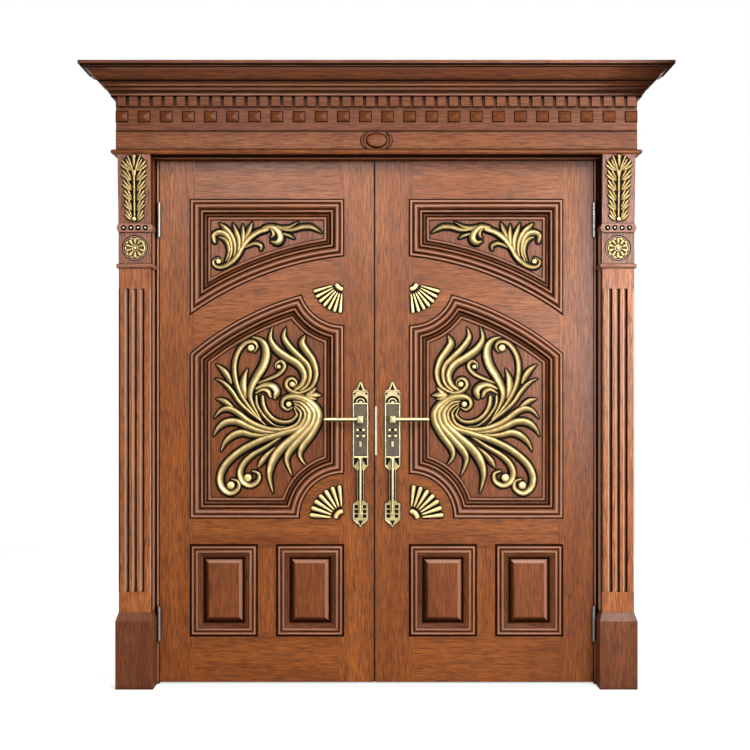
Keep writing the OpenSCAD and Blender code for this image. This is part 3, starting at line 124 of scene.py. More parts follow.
@dataclass
class MeshPlan:
    """Points, faces and finishes of one mesh under way."""

    points: list[Point3] = field(default_factory=list)
    glaze: list[float] = field(default_factory=list)
    faces: list[tuple[int, ...]] = field(default_factory=list)
    uvs: list[tuple[Point2, ...]] = field(default_factory=list)
    slots: list[int] = field(default_factory=list)

    def point(self, place: Point3, glaze: float = 0.0) -> int:
        """Adds a point and gives its number.

        Args:
            place: Where it is, in metres.
            glaze: How much dark glazing and painted shade lies on it, from 0 to 1, or how much painted
                highlight, from 0 to -1.

        Returns:
            The number of the point.
        """
        self.points.append(place)
        self.glaze.append(glaze)
        return len(self.points) - 1

    def face(self, corners: Sequence[int], uv: Optional[Sequence[Point2]] = None, slot: int = 0) -> None:
        """Adds a face over numbered points.

        Args:
            corners: Numbers of its points.
            uv: Place on the board for each corner, where the grain follows the run.
            slot: Material slot.
        """
        self.faces.append(tuple(corners))
        self.uvs.append(tuple(uv) if uv else tuple((0.0, 0.0) for _ in corners))
        self.slots.append(slot)

    def lattice(self, rows: Sequence[Sequence[Point3]], glaze: Callable[[int, int], float],
                around: bool, capped: bool, slot: int = 0) -> None:
        """Adds a skin over rows of points.

        Args:
            rows: Rows of places, all of one length.
            glaze: Gives the dark glazing and painted shade, or the painted highlight where negative, for a
                row and a column.
            around: Whether the last column joins the first.
            capped: Whether the first and the last row are closed by a face.
            slot: Material slot of the faces.
        """
        width = len(rows[0])
        numbers = [[self.point(p, glaze(r, c)) for c, p in enumerate(row)] for r, row in enumerate(rows)]
        for r in range(len(rows) - 1):
            for c in range(width if around else width - 1):
                d = (c + 1) % width
                self.face((numbers[r][c], numbers[r][d], numbers[r + 1][d], numbers[r + 1][c]), slot=slot)
        if capped:
            self.face(list(reversed(numbers[0])), slot=slot)
            self.face(numbers[-1], slot=slot)

    def box(self, x: Point2, z: Point2, h: Point2, sign: float = 1.0, glaze: float = 0.0,
            slot: int = 0) -> None:
        """Adds a box from its limits across, up and out.

        Args:
            x: Limits across, in millimetres, as drawn for the left.
            z: Limits up.
            h: Limits out of the wall face.
            sign: 1 for the left, -1 for the right.
            glaze: Dark glazing and painted shade all over it, or a painted highlight where negative.
            slot: Material slot.
        """
        self.slab(((x[0], z[0]), (x[1], z[0]), (x[1], z[1]), (x[0], z[1])), h, sign, glaze, slot)

    def slab(self, outline: Sequence[Point2], h: Point2, sign: float = 1.0, glaze: float = 0.0,
             slot: int = 0) -> None:
        """Adds a flat plate over an outline.

        Args:
            outline: Corners across and up, in millimetres.
            h: Limits out of the wall face.
            sign: 1 for the left, -1 for the right.
            glaze: Dark glazing and painted shade all over it, or a painted highlight where negative.
            slot: Material slot.
        """
        rows = [[world(x, z, c, sign) for x, z in outline] for c in h]
        self.lattice(rows, lambda r, c: glaze, around=True, capped=True, slot=slot)

    def tower(self, centre: Point2, levels: Sequence[Level], sign: float = 1.0) -> None:
        """Adds a block over a rectangle that narrows outwards.

        Args:
            centre: Its middle across and up, in millimetres.
            levels: Half width, half height, distance out and painted shade of each level.
            sign: 1 for the left, -1 for the right.
        """
        rows = [
            [world(centre[0] + i * w, centre[1] + j * t, h, sign)
             for i, j in ((-1, -1), (1, -1), (1, 1), (-1, 1))]
            for w, t, h, _ in levels
        ]
        self.lattice(rows, lambda r, c: levels[r][3], around=True, capped=True)

    def turned(self, centre: Point2, levels: Sequence[Level], sign: float = 1.0, sides: int = 36,
               slot: int = 0) -> None:
        """Adds a round or oval button.

        Args:
            centre: Its middle across and up, in millimetres.
            levels: Radius across, radius up, distance out and dark glazing and painted shade of each level.
            sign: 1 for the left, -1 for the right.
            sides: Points round it.
            slot: Material slot.
        """
        turns = [2 * math.pi * c / sides for c in range(sides)]
        rows = [
            [world(centre[0] + a * math.cos(t), centre[1] + b * math.sin(t), h, sign) for t in turns]
            for a, b, h, _ in levels
        ]
        self.lattice(rows, lambda r, c: levels[r][3], around=True, capped=True, slot=slot)

    def hoop(self, centre: Point2, radii: Point2, h: Point2, sign: float = 1.0, glaze: float = 0.0,
             sides: int = 40) -> None:
        """Adds a flat ring.

        Args:
            centre: Its middle across and up, in millimetres.
            radii: Inner and outer radius.
            h: Limits out of the wall face.
            sign: 1 for the left, -1 for the right.
            glaze: Dark glazing and painted shade all over it, or a painted highlight where negative.
            sides: Points round it.
        """
        section = ((radii[1], h[0]), (radii[1], h[1]), (radii[0], h[1]), (radii[0], h[0]))
        loops = []
        for c in range(sides):
            turn = 2 * math.pi * c / sides
            loops.append([
                self.point(world(centre[0] + r * math.cos(turn), centre[1] + r * math.sin(turn), out, sign),
                           glaze)
                for r, out in section
            ])
        for a, b in zip(loops, loops[1:] + loops[:1]):
            for k in range(4):
                m = (k + 1) % 4
                self.face((a[k], b[k], b[m], a[m]))

    def rod(self, start: Point2, end: Point2, radii: Point2, h: float, sign: float,
            shade: Callable[[float], float], sides: int = 24) -> None:
        """Adds a round bar.

        Args:
            start: Where its axis starts, across and up, in millimetres.
            end: Where its axis ends.
            radii: Radius at the start and at the end.
            h: Distance of its axis out of the wall face.
            sign: 1 for the left, -1 for the right.
            shade: Gives the painted shade for a place across it, which runs from -1 to 1.
            sides: Points round it.
        """
        size = math.dist(start, end)
        side = ((start[1] - end[1]) / size, (end[0] - start[0]) / size)
        turns = [2 * math.pi * c / sides for c in range(sides)]
        rows = [
            [world(q[0] + side[0] * r * math.cos(t), q[1] + side[1] * r * math.cos(t), h + r * math.sin(t),
                   sign) for t in turns]
            for q, r in ((start, radii[0]), (end, radii[1]))
        ]
        self.lattice(rows, lambda r, c: min(1.0, max(0.0, shade(math.cos(turns[c])))), around=True,
                     capped=True)

    def bead(self, start: Point2, end: Point2, width: float, ground: float, rise: float,
             sign: float = 1.0) -> None:
        """Adds a half-round bead along a straight line.

        Args:
            start: Where it starts, across and up, in millimetres.
            end: Where it ends.
            width: Its width.
            ground: Distance out of the face that carries it.
            rise: How far it stands proud.
            sign: 1 for the left, -1 for the right.
        """
        size = math.dist(start, end)
        side = ((start[1] - end[1]) / size, (end[0] - start[0]) / size)
        # The foot of the bead carries painted shade
        section = ((-1.0, 0.0, 1.0), (-0.97, 0.42, 0.8), (-0.62, 0.86, 0.0), (0.0, 1.0, 0.0),
                   (0.62, 0.86, 0.0), (0.97, 0.42, 0.8), (1.0, 0.0, 1.0))
        rows = [
            [world(q[0] + side[0] * width * v / 2, q[1] + side[1] * width * v / 2, ground + rise * u, sign)
             for v, u, _ in section]
            for q in (start, end)
        ]
        self.lattice(rows, lambda r, c: section[c][2], around=True, capped=True)

    def build(self, name: str, materials: Sequence[Material], sharp: float = 38.0) -> bpy.types.Object:
        """Makes the object.

        Args:
            name: Name of the piece.
            materials: Its material slots.
            sharp: Angle in degrees above which an edge stays crisp.

        Returns:
            The new object, linked to the scene.
        """
        mesh = bpy.data.meshes.new(name)
        mesh.from_pydata(self.points, [], self.faces)
        layer = mesh.uv_layers.new(name="board")
        flat = [value for corners in self.uvs for uv in corners for value in uv]
        layer.data.foreach_set("uv", flat)
        mesh.polygons.foreach_set("material_index", self.slots)
        mesh.polygons.foreach_set("use_smooth", [True] * len(self.faces))
        # Per-point dark glazing, painted shade and painted highlight for the materials
        shade = mesh.attributes.new("glaze", "FLOAT", "POINT")
        shade.data.foreach_set("value", self.glaze)
        work = bmesh.new()
        work.from_mesh(mesh)
        bmesh.ops.recalc_face_normals(work, faces=work.faces)
        work.to_mesh(mesh)
        work.free()
        mesh.set_sharp_from_angle(angle=math.radians(sharp))
        for material in materials:
            mesh.materials.append(material)
        obj = bpy.data.objects.new(name, mesh)
        bpy.context.scene.collection.objects.link(obj)
        return obj


def place(obj: bpy.types.Object, body: str, slot: Optional[str], nodes: Sequence[str] = ()) -> None:
    """Puts a finished piece on its body and reports it.

    Args:
        obj: The piece.
        body: Body that it moves with.
        slot: Not used.
        nodes: Solids that it stands for.
    """
    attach(obj, body)
    if nodes:
        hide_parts(*nodes)
    LOG.info("%s on %s, %d faces", obj.name, body, len(obj.data.polygons))


def dress_solids(frame: dict, finishes: dict[str, Material]) -> None:
    """Gives solids their finishes and reports them.

    Args:
        frame: The loaded frame.
        finishes: Finish of each solid, by its name.
    """
    for name, material in finishes.items():
        obj = frame["nodes"][name]
        obj.data.materials.clear()
        obj.data.materials.append(material)
        LOG.info("%s dressed", name)


class Shader:
    """A material's node tree under way."""

    def __init__(self, name: str) -> None:
        """Starts a material with one surface shader.

        Args:
            name: Name of the material.
        """
        self.material = bpy.data.materials.new(name)
        self.material.use_nodes = True
        self.tree = self.material.node_tree
        self.surface = next(n for n in self.tree.nodes if n.type == "BSDF_PRINCIPLED")

    def node(self, kind: str, values: Optional[dict[str, object]] = None,
             **settings: object) -> bpy.types.Node:
        """Adds a node.

        Args:
            kind: Blender's name of the node.
            values: Values of its input sockets.
            **settings: Properties of the node.

        Returns:
            The node.
        """
        made = self.tree.nodes.new(kind)
        for key, value in settings.items():
            setattr(made, key, value)
        for key, value in (values or {}).items():
            made.inputs[key].default_value = value
        return made

    def join(self, out: Socket, to: Socket) -> None:
        """Links two sockets."""
        self.tree.links.new(out, to)

    def noise(self, vector: Socket, scale: float, detail: float = 3.0,
              distortion: float = 0.0) -> Socket:
        """Noise over a vector.

        Args:
            vector: Where it is read.
            scale: Size of the pattern.
            detail: Levels of detail.
            distortion: How far it is stirred.

        Returns:
            Its value.
        """
        made = self.node("ShaderNodeTexNoise", {"Scale": scale, "Detail": detail, "Distortion": distortion})
        self.join(vector, made.inputs["Vector"])
        return made.outputs["Fac"]

    def stretched(self, vector: Socket, scale: Point3) -> Socket:
        """The vector scaled along its three axes.

        Args:
            vector: What is scaled.
            scale: Factor along each axis.

        Returns:
            The scaled vector.
        """
        made = self.node("ShaderNodeMapping", {"Scale": scale})
        self.join(vector, made.inputs["Vector"])
        return made.outputs["Vector"]

    def between(self, value: Socket, low: float, high: float, to_low: float = 0.0,
                to_high: float = 1.0) -> Socket:
        """A value moved from one range to another, with its ends held.

        Args:
            value: What is moved.
            low: Start of its range.
            high: End of its range.
            to_low: What the start becomes.
            to_high: What the end becomes.

        Returns:
            The moved value.
        """
        made = self.node("ShaderNodeMapRange",
                         {"From Min": low, "From Max": high, "To Min": to_low, "To Max": to_high}, clamp=True)
        self.join(value, made.inputs["Value"])
        return made.outputs["Result"]

    def blend(self, share: Socket, first: object, second: object) -> Socket:
        """Two colours blended by a share.

        Args:
            share: Share of the second colour.
            first: A colour or a socket.
            second: A colour or a socket.

        Returns:
            The blended colour.
        """
        made = self.node("ShaderNodeMix", data_type="RGBA")
        self.join(share, made.inputs[0])
        for socket, value in ((made.inputs[6], first), (made.inputs[7], second)):
            if isinstance(value, Socket):
                self.join(value, socket)
            else:
                socket.default_value = (*value, 1.0)
        return made.outputs[2]

    def largest(self, first: Socket, second: Socket) -> Socket:
        """The larger of two values.

        Args:
            first: One value.
            second: The other value.

        Returns:
            The larger one.
        """
        made = self.node("ShaderNodeMath", operation="MAXIMUM")
        self.join(first, made.inputs[0])
        self.join(second, made.inputs[1])
        return made.outputs[0]

    def hollow(self, reach: float, low: float, high: float) -> Socket:
        """How far a place lies in a crevice, from 0 to 1.

        Args:
            reach: How far around it counts, in metres.
            low: Openness that counts as deep.
            high: Openness that counts as bare.

        Returns:
            The depth.
        """
        made = self.node("ShaderNodeAmbientOcclusion", {"Distance": reach}, samples=4)
        return self.between(made.outputs["AO"], low, high, 1.0, 0.0)

    def painted(self) -> Socket:
        """The dark glazing, painted shade and painted highlight that were laid on the points of a piece."""
        return self.node("ShaderNodeAttribute", attribute_name="glaze").outputs["Fac"]

    def bump(self, height: Socket, strength: float, distance: float, edge: float = 0.0) -> None:
        """Raises the surface by a height and rounds its edges.

        Args:
            height: What raises it.
            strength: How strong it is.
            distance: How high it is, in metres.
            edge: Radius of the rounded edges, in metres.
        """
        made = self.node("ShaderNodeBump", {"Strength": strength, "Distance": distance})
        if edge:
            soft = self.node("ShaderNodeBevel", {"Radius": edge}, samples=4)
            self.join(soft.outputs["Normal"], made.inputs["Normal"])
        self.join(height, made.inputs["Height"])
        self.join(made.outputs["Normal"], self.surface.inputs["Normal"])

    def fixed(self, **values: float) -> None:
        """Sets sockets of the surface that are the same all over."""
        for key, value in values.items():
            self.surface.inputs[key.replace("_", " ")].default_value = value


@dataclass(frozen=True)
class WoodFinish:
    """Lacquered mahogany with open pores, dark glazing and painted shade in its hollows, and painted
    highlights where its points are marked.
    """

    name: str
    heart: Color = (0.285, 0.070, 0.0080)
    light: Color = (0.483, 0.141, 0.022)
    streak: Color = (0.077, 0.0176, 0.0032)
    # Tone of the painted highlight, then of the dark glazing and painted shade
    painted_highlight: Color = (0.656, 0.336, 0.216)
    glaze: Color = (0.005, 0.002, 0.001)
    hollow_reach: float = 0.022
    shift: float = 0.0
    edge: float = 0.0015
    coat: float = 0.12
    gloss: float = 0.13
    stretch: float = 0.06
    ribbon_scale: float = 9.0
    streak_scale: float = 210.0
    pore_scale: float = 360.0
    cloud_scale: float = 2.2

    def make(self, grain: Grain) -> Material:
        """Makes the material for boards whose fibres run one way.

        Args:
            grain: Way of the fibres.

        Returns:
            The material.
        """
        s = Shader(f"{self.name}_{grain.value}")
        spread = (1.0, 1.0, self.stretch) if grain is Grain.UPRIGHT else (self.stretch, 1.0, 1.0)
        coords = s.node("ShaderNodeTexCoord")
        raw = coords.outputs["UV" if grain is Grain.RUN else "Object"]
        moved = s.node("ShaderNodeMapping", {"Location": (self.shift, self.shift * 0.7, self.shift * 1.3)})
        s.join(raw, moved.inputs["Vector"])
        along = s.stretched(moved.outputs["Vector"], spread)
        ribbon = s.noise(along, self.ribbon_scale, 3.0, 0.5)
        streak = s.noise(along, self.streak_scale, 2.0, 0.2)
        pore = s.noise(along, self.pore_scale, 2.0, 0.0)
        cloud = s.noise(moved.outputs["Vector"], self.cloud_scale, 2.0)
        tone = s.blend(s.between(ribbon, 0.30, 0.70), self.heart, self.light)
        tone = s.blend(s.between(streak, 0.40, 0.70, 0.0, 0.62), tone, self.streak)
        tone = s.blend(s.between(pore, 0.48, 0.66, 0.0, 0.70), tone, self.streak)
        tone = s.blend(s.between(cloud, 0.35, 0.65, 0.0, 0.22), tone, self.streak)
        paint = s.painted()
        # Negative marks lay the painted highlight
        tone = s.blend(s.between(paint, -1.0, 0.0, 0.60, 0.0), tone, self.painted_highlight)
        # Hollows and positive marks take the dark glazing and painted shade
        dark = s.largest(s.hollow(self.hollow_reach, 0.30, 0.84), paint)
        tone = s.blend(s.between(dark, 0.0, 1.0, 0.0, 0.96), tone, self.glaze)
        s.join(tone, s.surface.inputs["Base Color"])
        rough = s.largest(s.between(streak, 0.3, 0.7, 0.34, 0.50), s.between(dark, 0.4, 1.0, 0.0, 1.0))
        s.join(rough, s.surface.inputs["Roughness"])
        s.bump(pore, 0.10, 0.0004, self.edge)
        s.join(s.between(dark, 0.10, 0.75, self.coat, 0.0), s.surface.inputs["Coat Weight"])
        s.join(s.between(dark, 0.10, 0.75, self.gloss, 0.02), s.surface.inputs["Specular IOR Level"])
        s.fixed(Coat_Roughness=0.30)
        return s.material


@dataclass(frozen=True)
class GiltFinish:
    """Antique gold leaf over a dark ground that shows at the edges, with painted shade in its hollows and on
    the marked sides of its strokes.
    """

    name: str
    bright: Color = (0.85, 0.640, 0.280)
    mid: Color = (0.56, 0.396, 0.140)
    shade: Color = (0.150, 0.096, 0.028)
    ground: Color = (0.004, 0.003, 0.002)
    metal: float = 0.42
    hollow_reach: float = 0.010
    mottle_scale: float = 60.0
    rub_scale: float = 420.0

    def make(self) -> Material:
        """Makes the material.

        Returns:
            The material.
        """
        s = Shader(self.name)
        where = s.node("ShaderNodeTexCoord").outputs["Object"]
        mottle = s.noise(where, self.mottle_scale, 3.0, 0.4)
        rub = s.noise(where, self.rub_scale, 3.0)
        tone = s.blend(s.between(mottle, 0.30, 0.66), self.mid, self.bright)
        # Hollows and marked points take painted shade, and the dark ground where deepest
        dark = s.largest(s.hollow(self.hollow_reach, 0.22, 0.74), s.painted())
        tone = s.blend(s.between(dark, 0.04, 0.50), tone, self.shade)
        tone = s.blend(s.between(dark, 0.50, 0.90), tone, self.ground)
        s.join(tone, s.surface.inputs["Base Color"])
        s.join(s.between(rub, 0.3, 0.7, 0.30, 0.44), s.surface.inputs["Roughness"])
        s.join(s.between(dark, 0.30, 0.80, self.metal, 0.0), s.surface.inputs["Metallic"])
        s.join(s.between(dark, 0.30, 0.80, 0.5, 0.03), s.surface.inputs["Specular IOR Level"])
        s.bump(rub, 0.06, 0.0004)
        return s.material


@dataclass(frozen=True)
class MetalFinish:
    """Cast or rolled metal with a little wear, tarnished in its hollows, and painted shade where its points
    are marked.
    """

    name: str
    bright: Color
    dull: Color
    tarnish_and_shade: Color
    metal: float = 0.9
    rough: float = 0.28
    hollow_reach: float = 0.008
    brush: Point3 = (1.0, 1.0, 1.0)
    edge: float = 0.0012
    gloss: float = 0.5
    mottle_scale: float = 60.0
    fine_scale: float = 700.0

    def make(self) -> Material:
        """Makes the material.

        Returns:
            The material.
        """
        s = Shader(self.name)
        where = s.node("ShaderNodeTexCoord").outputs["Object"]
        drawn = s.stretched(where, self.brush)
        mottle = s.noise(where, self.mottle_scale, 3.0, 0.4)
        fine = s.noise(drawn, self.fine_scale, 3.0)
        tone = s.blend(s.between(mottle, 0.35, 0.68), self.bright, self.dull)
        # Hollows are tarnished and marked points take painted shade
        dark = s.largest(s.hollow(self.hollow_reach, 0.25, 0.85), s.painted())
        tone = s.blend(s.between(dark, 0.1, 0.95, 0.0, 0.92), tone, self.tarnish_and_shade)
        s.join(tone, s.surface.inputs["Base Color"])
        s.join(s.between(fine, 0.3, 0.7, self.rough - 0.05, self.rough + 0.10), s.surface.inputs["Roughness"])
        s.bump(fine, 0.06, 0.0002, self.edge)
        s.join(s.between(dark, 0.3, 0.8, self.metal, 0.0), s.surface.inputs["Metallic"])
        s.join(s.between(dark, 0.3, 0.8, self.gloss, 0.03), s.surface.inputs["Specular IOR Level"])
        return s.material


@dataclass(frozen=True)
class RubberFinish:
    """Dull black rubber with a little dust."""

    name: str
    tone: Color = (0.010, 0.008, 0.007)
    dust: Color = (0.030, 0.025, 0.022)
    dust_scale: float = 140.0

    def make(self) -> Material:
        """Makes the material.

        Returns:
            The material.
        """
        s = Shader(self.name)
        where = s.node("ShaderNodeTexCoord").outputs["Object"]
        tone = s.blend(s.between(s.noise(where, self.dust_scale), 0.40, 0.70), self.tone, self.dust)
        s.join(tone, s.surface.inputs["Base Color"])
        s.fixed(Roughness=0.75, Specular_IOR_Level=0.2)
        return s.material


@dataclass
class Palette:
    """Every finish of the door."""

    upright: Material
    level: Material
    run: Material
    panel: Material
    jamb: Material
    jamb_level: Material
    pilaster: Material
    capital: Material
    band: Material
    crown: Material
    beam: Material
    plinth: Material
    gilt: Material
    brass: Material
    aged: Material
    bronze: Material
    steel: Material
    pearl: Material
    forend: Material
    rubber: Material
    patina: Material

    @classmethod
    def mix(cls) -> "Palette":
        """Makes every material once.

        Returns:
            The palette.
        """
        board = WoodFinish("mahogany")
        panel = WoodFinish("panel_mahogany", heart=(0.240, 0.059, 0.0110), light=(0.390, 0.112, 0.0250),
                           painted_highlight=(0.544, 0.272, 0.173), shift=3.1)
        moulding = WoodFinish("moulding_mahogany", heart=(0.221, 0.059, 0.0152), light=(0.371, 0.112, 0.030),
                              streak=(0.058, 0.0144, 0.0048), painted_highlight=(0.592, 0.304, 0.200), shift=1.7)
        # Jambs are tinted lighter than the boards as painted light on the reveals, with a pale painted
        # highlight tone
        jamb = WoodFinish("jamb_mahogany", heart=(0.464, 0.133, 0.035), light=(0.720, 0.235, 0.070),
                          painted_highlight=(0.950, 0.640, 0.500), shift=7.3)
        pilaster = WoodFinish("pilaster_mahogany", heart=(0.400, 0.112, 0.029), light=(0.680, 0.224, 0.064),
                              painted_highlight=(0.850, 0.640, 0.480), shift=11.9)
        # Capitals and bands are tinted pale and pinkish as a painted sheen
        capital = WoodFinish("capital_mahogany", heart=(0.290, 0.098, 0.049), light=(0.470, 0.185, 0.100),
                             shift=4.4)
        band = WoodFinish("band_mahogany", heart=(0.380, 0.150, 0.088), light=(0.560, 0.245, 0.155),
                          shift=6.1)
        plinth = WoodFinish("plinth_mahogany", heart=(0.179, 0.046, 0.0120), light=(0.312, 0.091, 0.026),
                            streak=(0.064, 0.0160, 0.0048), shift=9.4)
        # The crown is stained darker than the boards, which also stands in for the shade on its downward face
        crown = WoodFinish("crown_mahogany", heart=(0.170, 0.048, 0.0160), light=(0.304, 0.096, 0.034),
                           streak=(0.058, 0.0160, 0.0064), shift=5.2, edge=0.0, coat=0.05, gloss=0.10)
        beam = WoodFinish("beam_mahogany", heart=(0.197, 0.054, 0.0128), light=(0.344, 0.107, 0.030),
                          streak=(0.074, 0.0176, 0.0048), shift=2.7, coat=0.04, gloss=0.08)
        brass = MetalFinish("brass", (0.65, 0.54, 0.29), (0.49, 0.39, 0.18), (0.024, 0.016, 0.006),
                            metal=0.75, rough=0.26, hollow_reach=0.010)
        aged = MetalFinish("aged_brass", (0.50, 0.400, 0.205), (0.34, 0.262, 0.115), (0.010, 0.007, 0.003),
                           metal=0.7, rough=0.30, hollow_reach=0.012)
        bronze = MetalFinish("bronze_field", (0.070, 0.052, 0.028), (0.043, 0.031, 0.016),
                             (0.02, 0.014, 0.008), metal=0.45, rough=0.46)
        # Black sheets, also laid as painted shadow round the handle plates and on the pearls' seats
        patina = MetalFinish("black_patina", (0.012, 0.009, 0.006), (0.006, 0.005, 0.004),
                             (0.004, 0.003, 0.002), metal=0.0, rough=0.75, gloss=0.06)
        steel = MetalFinish("satin_steel", (0.26, 0.245, 0.225), (0.18, 0.17, 0.155), (0.02, 0.017, 0.014),
                            rough=0.44, brush=(1.0, 1.0, 0.06))
        forend = MetalFinish("forend_brass", (0.56, 0.47, 0.31), (0.44, 0.36, 0.23), (0.05, 0.04, 0.02),
                             metal=0.3, rough=0.55, brush=(1.0, 1.0, 0.06))
        pearl = MetalFinish("pearl_metal", (0.95, 0.93, 0.86), (0.86, 0.83, 0.74), (0.06, 0.05, 0.04),
                            rough=0.25)
        return cls(
            upright=board.make(Grain.UPRIGHT), level=board.make(Grain.LEVEL), run=moulding.make(Grain.RUN),
            panel=panel.make(Grain.UPRIGHT), jamb=jamb.make(Grain.UPRIGHT), jamb_level=jamb.make(Grain.LEVEL),
            pilaster=pilaster.make(Grain.UPRIGHT), capital=capital.make(Grain.UPRIGHT),
            band=band.make(Grain.LEVEL), crown=crown.make(Grain.LEVEL), beam=beam.make(Grain.LEVEL),
            plinth=plinth.make(Grain.UPRIGHT), gilt=GiltFinish("antique_gilt").make(), brass=brass.make(),
            aged=aged.make(), bronze=bronze.make(), steel=steel.make(), pearl=pearl.make(),
            forend=forend.make(), rubber=RubberFinish("meeting_seal").make(), patina=patina.make(),
        )


@dataclass(frozen=True)
class Stroke:
    """One carved stroke: a line from root to tip with its widths, in millimetres."""

    line: tuple[Point2, ...]
    widths: Point3
    belly: float
    straight: bool = False

    def at(self, share: float) -> Point2:
        """Place on the line, which runs smoothly through its points.

        Args:
            share: Share of the way from root to tip, counted in points.

        Returns:
            The place.
        """
        last = len(self.line) - 1
        s = share * last
        k = min(int(s), last - 1)
        t = s - k
        a, b, c, d = (self.line[i] for i in (max(k - 1, 0), k, k + 1, min(k + 2, last)))
        return tuple(
            0.5 * (2 * q + (r - p) * t + (2 * p - 5 * q + 4 * r - u) * t * t
                   + (3 * q - p - 3 * r + u) * t ** 3)
            for p, q, r, u in zip(a, b, c, d)
        )

    def half_width(self, share: float) -> float:
        """Half of the width at a share of the line.

        Args:
            share: Share of the way from root to tip.

        Returns:
            The half width, in millimetres.
        """
        root, belly, tip = self.widths
        if share < self.belly:
            t = share / self.belly
            return 0.5 * (lerp(root, belly, t) if self.straight
                          else lerp(root, belly, math.sin(0.5 * math.pi * t)))
        t = (share - self.belly) / (1.0 - self.belly)
        return 0.5 * lerp(tip, belly, math.cos(0.5 * math.pi * t))


@dataclass(frozen=True)
class Section:
    """Section of a stroke: shares of its half width and height, with the dark glazing and painted shade on
    each.
    """

    across: tuple[float, ...]
    up: tuple[float, ...]
    glaze: tuple[float, ...]


# Dark at both edges, with painted shade rising across one side
FEATHER = Section(
    across=(-1.0, -0.97, -0.88, -0.80, -0.58, -0.36, -0.30, -0.10, 0.20, 0.48, 0.76, 0.86, 0.97, 1.0),
    up=(0.0, 0.34, 0.58, 0.70, 0.86, 0.99, 1.0, 0.92, 0.82, 0.72, 0.60, 0.50, 0.34, 0.0),
    glaze=(1.0, 1.0, 0.92, 0.42, 0.14, 0.0, 0.0, 0.12, 0.34, 0.48, 0.62, 0.92, 1.0, 1.0),
)
BUD = Section(
    across=(-1.0, -0.97, -0.86, -0.70, -0.42, -0.14, 0.14, 0.42, 0.70, 0.86, 0.97, 1.0),
    up=(0.0, 0.34, 0.60, 0.84, 0.96, 1.0, 1.0, 0.96, 0.84, 0.60, 0.34, 0.0),
    glaze=(1.0, 1.0, 0.95, 0.56, 0.18, 0.04, 0.04, 0.18, 0.56, 0.95, 1.0, 1.0),
)
PETAL = Section(
    across=(-1.0, -0.90, -0.55, 0.0, 0.55, 0.90, 1.0),
    up=(0.0, 0.55, 0.86, 1.0, 0.86, 0.55, 0.0),
    glaze=(0.95, 0.70, 0.42, 0.28, 0.42, 0.70, 0.95),
)
EDGE = Section(across=(-1.0, -0.9, 0.9, 1.0), up=(0.0, 1.0, 1.0, 0.0), glaze=(1.0, 1.0, 1.0, 1.0))

Surface = Callable[[float, float, float], Point3]


